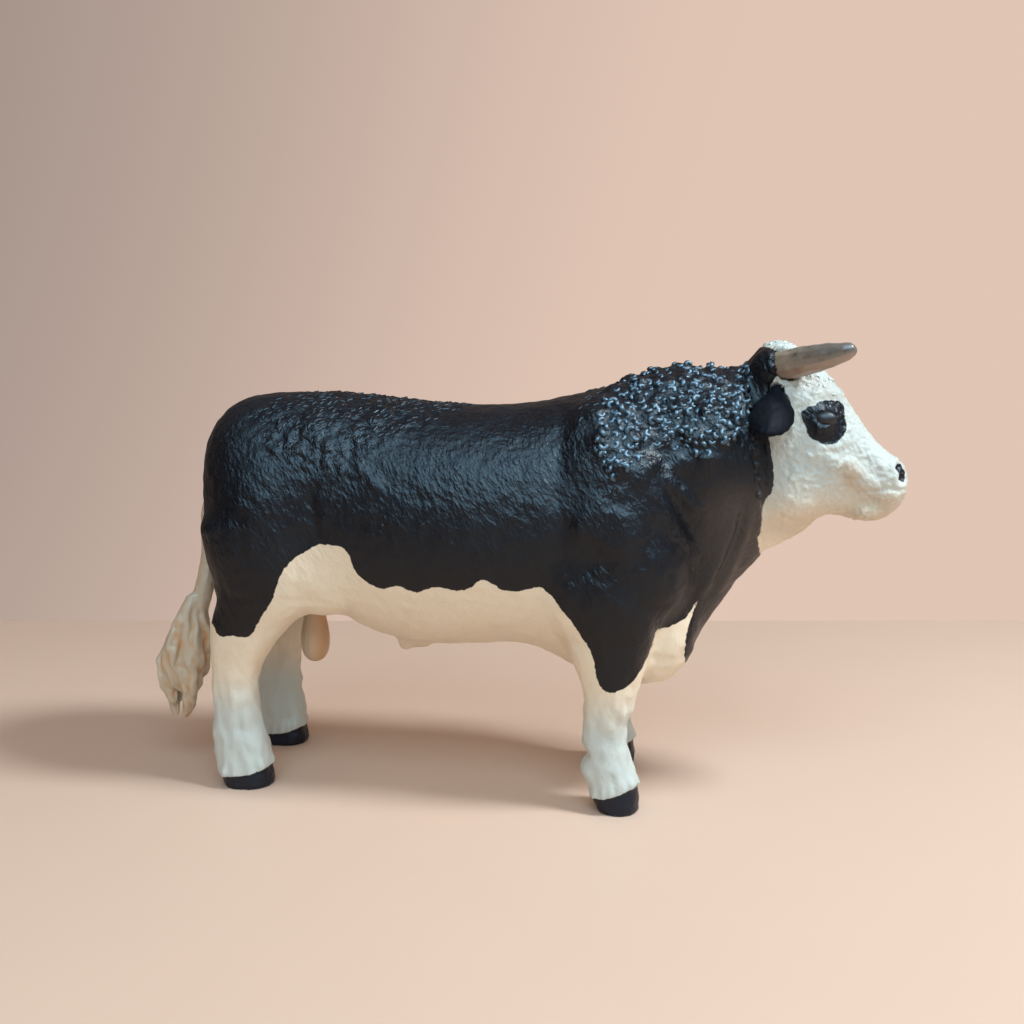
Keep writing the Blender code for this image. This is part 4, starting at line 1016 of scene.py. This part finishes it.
def paint_head(mesh, places):
    """Stores where the coat, the eye patches and the nostrils are painted, and where the face is soiled."""
    flat, side = places[:, [0, 2]], np.abs(places[:, 1])
    patch = np.where(side > 4, inside_distance(flat, EYE_PATCH), -FAR)
    gap, _ = path_distance(flat, NOSTRIL)
    hole = np.where(side > NOSTRIL_SIDES[2], NOSTRIL_PAINT - gap, -FAR)
    add_attribute(mesh, "coat", np.maximum.reduce([inside_distance(flat, BLACK_COAT), patch, hole]))
    add_attribute(mesh, "hoof", -FAR)
    # Painted shade in the muzzle's hollow and under the jaw.
    shade = sum(
        strength * np.exp(-((path_distance(flat, path)[0] / width) ** 2))
        for path, width, strength in FACE_SHADES
    )
    add_attribute(mesh, "shade", shade)


class BULL_OT_head(bpy.types.Operator):
    """Makes the white head with brow, lids, nostrils, mouth and eyes."""

    bl_idname = "bull.head"
    bl_label = "Head"

    def execute(self, context):
        settings = context.scene.bull_head
        nodes = ("head", "torso")
        skin = moulded_skin("head_skin", nodes, settings.grain / MM, PASSES["head"], SEAM_SLACK)
        cut_open(skin, HEAD_START, (-1, 0, 0))
        places, normals, _ = mesh_arrays(skin)
        raise_skin(skin, places, normals, head_relief(places, normals))
        skin = thinned("head_skin", skin)
        places, _, _ = mesh_arrays(skin)
        paint_head(skin, places)
        head = dress(link_object("head_skin", skin), hide_material())
        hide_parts("head")
        for name, side in (("eye_right", -1), ("eye_left", 1)):
            ball = bmesh.new()
            bmesh.ops.create_uvsphere(ball, u_segments=32, v_segments=20, radius=settings.eye_radius)
            mesh = bpy.data.meshes.new(name)
            ball.to_mesh(mesh)
            ball.free()
            near = (np.hypot(*(places[:, [0, 2]] - EYE).T) < 0.8) & (places[:, 1] * side > 3)
            middle = (EYE[0], side * (np.abs(places[near, 1]).max() - EYE_SUNK), EYE[1])
            set_places(mesh, mesh_arrays(mesh)[0] * EYE_SHARES + middle)
            dress(link_object(name, mesh), eye_material())
        return {"FINISHED"}


class BULL_OT_forelock(bpy.types.Operator):
    """Grows the cream curls between the horns."""

    bl_idname = "bull.forelock"
    bl_label = "Forelock"

    def execute(self, context):
        settings = context.scene.bull_hide
        skin = bpy.data.objects["head_skin"].data
        places, _, _ = mesh_arrays(skin)
        top = fade("poll", places[:, 2] + 0.1 * (places[:, 0] - 50))
        top *= fade("white", inside_distance(places[:, [0, 2]], BLACK_COAT))
        values = {
            "Spacing": 0.0014, "Bend": 0.00045, "Sweep": 3.9, "Thickness": 0.00026, "Sink": -0.0001,
            "Tilt": 0.25, "Seed": settings.seed + 2,
        }
        tree = hair_tree("Curled locks")
        hair = grow_hair("forelock", skin, top, FORELOCK_LIE, tree, values, lock_material())
        return {"FINISHED"}


class BULL_OT_horns_and_ears(bpy.types.Operator):
    """Rounds and paints the horns and the ears."""

    bl_idname = "bull.horns_and_ears"
    bl_label = "Horns and ears"

    def execute(self, context):
        for name in ("horn_left", "horn_right"):
            skin = moulded_skin(name + "_skin", (name,), *MOULDS["horn"])
            places, normals, _ = mesh_arrays(skin)
            low, high = places.min(0), places.max(0)
            along = (places[:, 0] - low[0]) / (high[0] - low[0])
            knobs = fade("horn root", along) * (KNOB + layered("horn root", places))
            raise_skin(skin, places, normals, layered("horn", places) + knobs)
            add_attribute(skin, "along", along)
            add_attribute(skin, "top", normals[:, 2])
            horn = dress(link_object(name + "_skin", skin), horn_material())
            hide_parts(name)
        for name in ("ear_left", "ear_right"):
            skin = moulded_skin(name + "_skin", (name,), *MOULDS["ear"])
            places, normals, _ = mesh_arrays(skin)
            raise_skin(skin, places, normals, layered("ear", places))
            add_attribute(skin, "coat", FAR)
            add_attribute(skin, "hoof", -FAR)
            ear = dress(link_object(name + "_skin", skin), ear_material())
            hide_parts(name)
        return {"FINISHED"}


def round_core(places):
    """The angle of each place round the tail's middle line."""
    steps = np.arange(places[:, 2].min(), places[:, 2].max() + 1, 1.0)
    bins = np.clip(np.digitize(places[:, 2], steps) - 1, 0, len(steps) - 1)
    count = np.maximum(np.bincount(bins, minlength=len(steps)), 1)
    middle = [np.bincount(bins, places[:, k], len(steps)) / count for k in (0, 1)]
    core = [np.interp(places[:, 2], steps + 0.5, line) for line in middle]
    return np.arctan2(places[:, 1] - core[1], places[:, 0] - core[0])


class BULL_OT_tail(bpy.types.Operator):
    """Twists and paints the tail and the scrotum."""

    bl_idname = "bull.tail"
    bl_label = "Tail and scrotum"

    def execute(self, context):
        skin = moulded_skin("tail_skin", ("tail",), *MOULDS["tail"])
        places, normals, _ = mesh_arrays(skin)
        up = places[:, 2]
        switch = fade("switch", up)
        number, turn, wander = TWIST
        twist = np.cos(number * round_core(places) + up * turn + wander * lumps(places, 3, 51))
        height, back = CORDS
        cords = height * twist + layered("switch", places) - back
        raised = switch * fade("off tip", up - up.min()) * cords - ROOT_SINK * fade("tail root", up)
        raise_skin(skin, places, normals, raised + layered("tail", places))
        wash_and_glow = switch * fade("groove", twist) * fade("wash patch", lumps(places, 2, 54))
        everywhere, extra = TAIL_WASH
        add_attribute(skin, "wash_and_glow", np.clip(everywhere + extra * wash_and_glow, 0, 1))
        add_attribute(skin, "coat", up - TAIL_COAT)
        tail = dress(link_object("tail_skin", skin), tail_material())
        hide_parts("tail")
        skin = moulded_skin("scrotum_skin", ("scrotum",), *MOULDS["scrotum"])
        places, _, _ = mesh_arrays(skin)
        low, high = places.min(0), places.max(0)
        everywhere, extra = SCROTUM_WASH_AND_GLOW
        # A painted orange glow of light through the plastic at the scrotum's front.
        front = fade("scrotum glow", (places[:, 0] - low[0]) / (high[0] - low[0]))
        add_attribute(skin, "wash_and_glow", everywhere + extra * front)
        add_attribute(skin, "coat", -FAR)
        middle = (low + high) / 2
        set_places(skin, middle + (places - middle) * SCROTUM_SHARES)
        bag = dress(link_object("scrotum_skin", skin), tail_material())
        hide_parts("scrotum")
        return {"FINISHED"}


# Studio

FLOOR_HALF = 0.6  # m from the middle to the mat's sides and near edge
VIEW_TURN = math.radians(11)  # from a square side view to the camera
VIEW_TILT = math.radians(5.76)  # how far the camera looks down
VIEW_DISTANCE = 0.205  # m, level
VIEW_HEIGHT = 0.07215  # m
VIEW_SHIFT = -0.0002  # m along x that puts the figure where the photo has it
SENSOR = 36  # mm
FOCAL_SHARE = 1090 / 1024  # of the picture's width
FILL = ((1.0, 0.7, 0.5, 1), 0.36)  # colour and strength of the light from all round
# Place, target, size in metres and colour of each lamp.
LAMPS = {
    "key": ((0.34, -0.06, 0.46), (0, 0, 0.04), 0.13, (0.88, 0.96, 1.0)),
    "sheen": ((0.08, -0.42, 0.4), (0, 0, 0.05), 0.45, (0.62, 0.86, 1.0)),
}
# Parts of a ray's direction over which the backdrop and the light that gloss mirrors change.
PALE_WALL = (-0.8, -0.05)
ROOM_LIGHT = (-0.2, 0.5, 0.1, 0.4)
WINDOW_FOOT, WINDOW_HEAD = (0.25, 0.5), (1.0, 0.85)
WINDOW_REAR, WINDOW_SIDE = (-0.7, -0.25), (0.1, -0.15)


def floor_material(tone):
    """The mat's paint, a little uneven."""
    material, nodes, shader, _ = new_material("Floor mat")
    grain = nodes.noise(nodes.place(), 40.0, 3.0)
    darker = tuple(0.97 * part for part in tone)
    nodes.tree.links.new(nodes.mix(grain, tone, darker), shader["Base Color"])
    shader["Roughness"].default_value = 0.55
    return material


def light_studio(nodes, settings):
    """Gives camera rays the backdrop, glossy rays a room with a window, and all others an even fill."""
    rays = nodes.add("ShaderNodeLightPath").outputs
    ahead = nodes.add("ShaderNodeTexCoord").outputs["Generated"]
    x, y, z = nodes.add("ShaderNodeSeparateXYZ", {0: ahead}).outputs
    across = nodes.math("SUBTRACT", x, nodes.times(z, 0.35))
    wall_colour = nodes.mix(nodes.ramp(across, *PALE_WALL), settings.wall_shade, settings.wall)
    high = nodes.times(nodes.ramp(z, *WINDOW_FOOT), nodes.ramp(z, *WINDOW_HEAD))
    window = nodes.times(high, nodes.times(nodes.ramp(x, *WINDOW_REAR), nodes.ramp(y, *WINDOW_SIDE)))
    mirrored = nodes.mix(window, wall_colour, settings.window)
    strength = nodes.plus(nodes.ramp(y, *ROOM_LIGHT), nodes.times(window, settings.window_strength))
    wall, gloss, fill = (
        nodes.value("ShaderNodeBackground", {"Color": tone, "Strength": bright})
        for tone, bright in ((wall_colour, 1.0), (mirrored, strength), FILL)
    )
    unseen = nodes.value("ShaderNodeMixShader", {0: rays["Is Glossy Ray"], 1: fill, 2: gloss})
    mixed = nodes.value("ShaderNodeMixShader", {0: rays["Is Camera Ray"], 1: unseen, 2: wall})
    nodes.add("ShaderNodeOutputWorld", {"Surface": mixed})


def add_lamp(name, strength, place, target, size, tone):
    """A round lamp that shines from one place to another."""
    lamp = bpy.data.lights.new(name, "AREA")
    lamp.energy = strength
    lamp.color = tone
    lamp.shape = "DISK"
    lamp.size = size
    thing = link_object(name, lamp)
    thing.location = place
    thing.rotation_euler = (Vector(target) - Vector(place)).to_track_quat("-Z", "Y").to_euler()


class BULL_OT_studio(bpy.types.Operator):
    """Lays the floor mat and sets the backdrop, lamps and camera."""

    bl_idname = "bull.studio"
    bl_label = "Studio"

    def execute(self, context):
        settings = context.scene.bull_studio
        shape = bmesh.new()
        turn = Matrix.Rotation(VIEW_TURN, 4, "Z")
        ends = ((-1, -FLOOR_HALF), (1, -FLOOR_HALF), (1, settings.floor_depth), (-1, settings.floor_depth))
        corners = [turn @ Vector((side * FLOOR_HALF, depth, 0)) for side, depth in ends]
        shape.faces.new([shape.verts.new(corner) for corner in corners])
        mesh = bpy.data.meshes.new("floor")
        shape.to_mesh(mesh)
        shape.free()
        floor = link_object("floor", mesh)
        mesh.materials.append(floor_material(tuple(settings.floor)))
        world = bpy.data.worlds.new("Studio")
        context.scene.world = world
        world.use_nodes = True
        world.node_tree.nodes.clear()
        light_studio(Tree(world.node_tree), settings)
        add_lamp("key", settings.key_power, *LAMPS["key"])
        add_lamp("sheen", settings.sheen_power, *LAMPS["sheen"])
        lens = bpy.data.cameras.new("camera")
        lens.sensor_width = SENSOR
        lens.lens = FOCAL_SHARE * SENSOR
        camera = link_object("camera", lens)
        away = VIEW_DISTANCE * math.sin(VIEW_TURN) + VIEW_SHIFT
        camera.location = (away, -VIEW_DISTANCE * math.cos(VIEW_TURN), VIEW_HEIGHT)
        camera.rotation_euler = (math.pi / 2 - VIEW_TILT, 0, VIEW_TURN)
        context.scene.camera = camera
        context.scene.view_settings.view_transform = "Standard"
        return {"FINISHED"}


OPERATORS = (
    BULL_OT_hide,
    BULL_OT_coat_hair,
    BULL_OT_head,
    BULL_OT_forelock,
    BULL_OT_horns_and_ears,
    BULL_OT_tail,
    BULL_OT_studio,
)
SETTINGS = (
    ("bull_finish", FinishSettings),
    ("bull_hide", HideSettings),
    ("bull_head", HeadSettings),
    ("bull_studio", StudioSettings),
)


class BULL_PT_panel(bpy.types.Panel):
    """Lists the pieces in the order they are made."""

    bl_idname = "BULL_PT_panel"
    bl_label = "Toy bull"
    bl_space_type = "VIEW_3D"
    bl_region_type = "UI"
    bl_category = "Toy bull"

    def draw(self, context):
        for name, group in SETTINGS:
            column = self.layout.column(heading=group.__doc__)
            for key in group.__annotations__:
                column.prop(getattr(context.scene, name), key)
        for operator in OPERATORS:
            self.layout.operator(operator.bl_idname)


def register():
    for name, group in SETTINGS:
        bpy.utils.register_class(group)
        setattr(bpy.types.Scene, name, PointerProperty(type=group))
    for operator in OPERATORS:
        bpy.utils.register_class(operator)
    bpy.utils.register_class(BULL_PT_panel)


def unregister():
    bpy.utils.unregister_class(BULL_PT_panel)
    for operator in reversed(OPERATORS):
        bpy.utils.unregister_class(operator)
    for name, group in reversed(SETTINGS):
        delattr(bpy.types.Scene, name)
        bpy.utils.unregister_class(group)


def main():
    register()
    for operator in OPERATORS:
        family, action = operator.bl_idname.split(".")
        getattr(getattr(bpy.ops, family), action)()


if __name__ == "__main__":
    main()
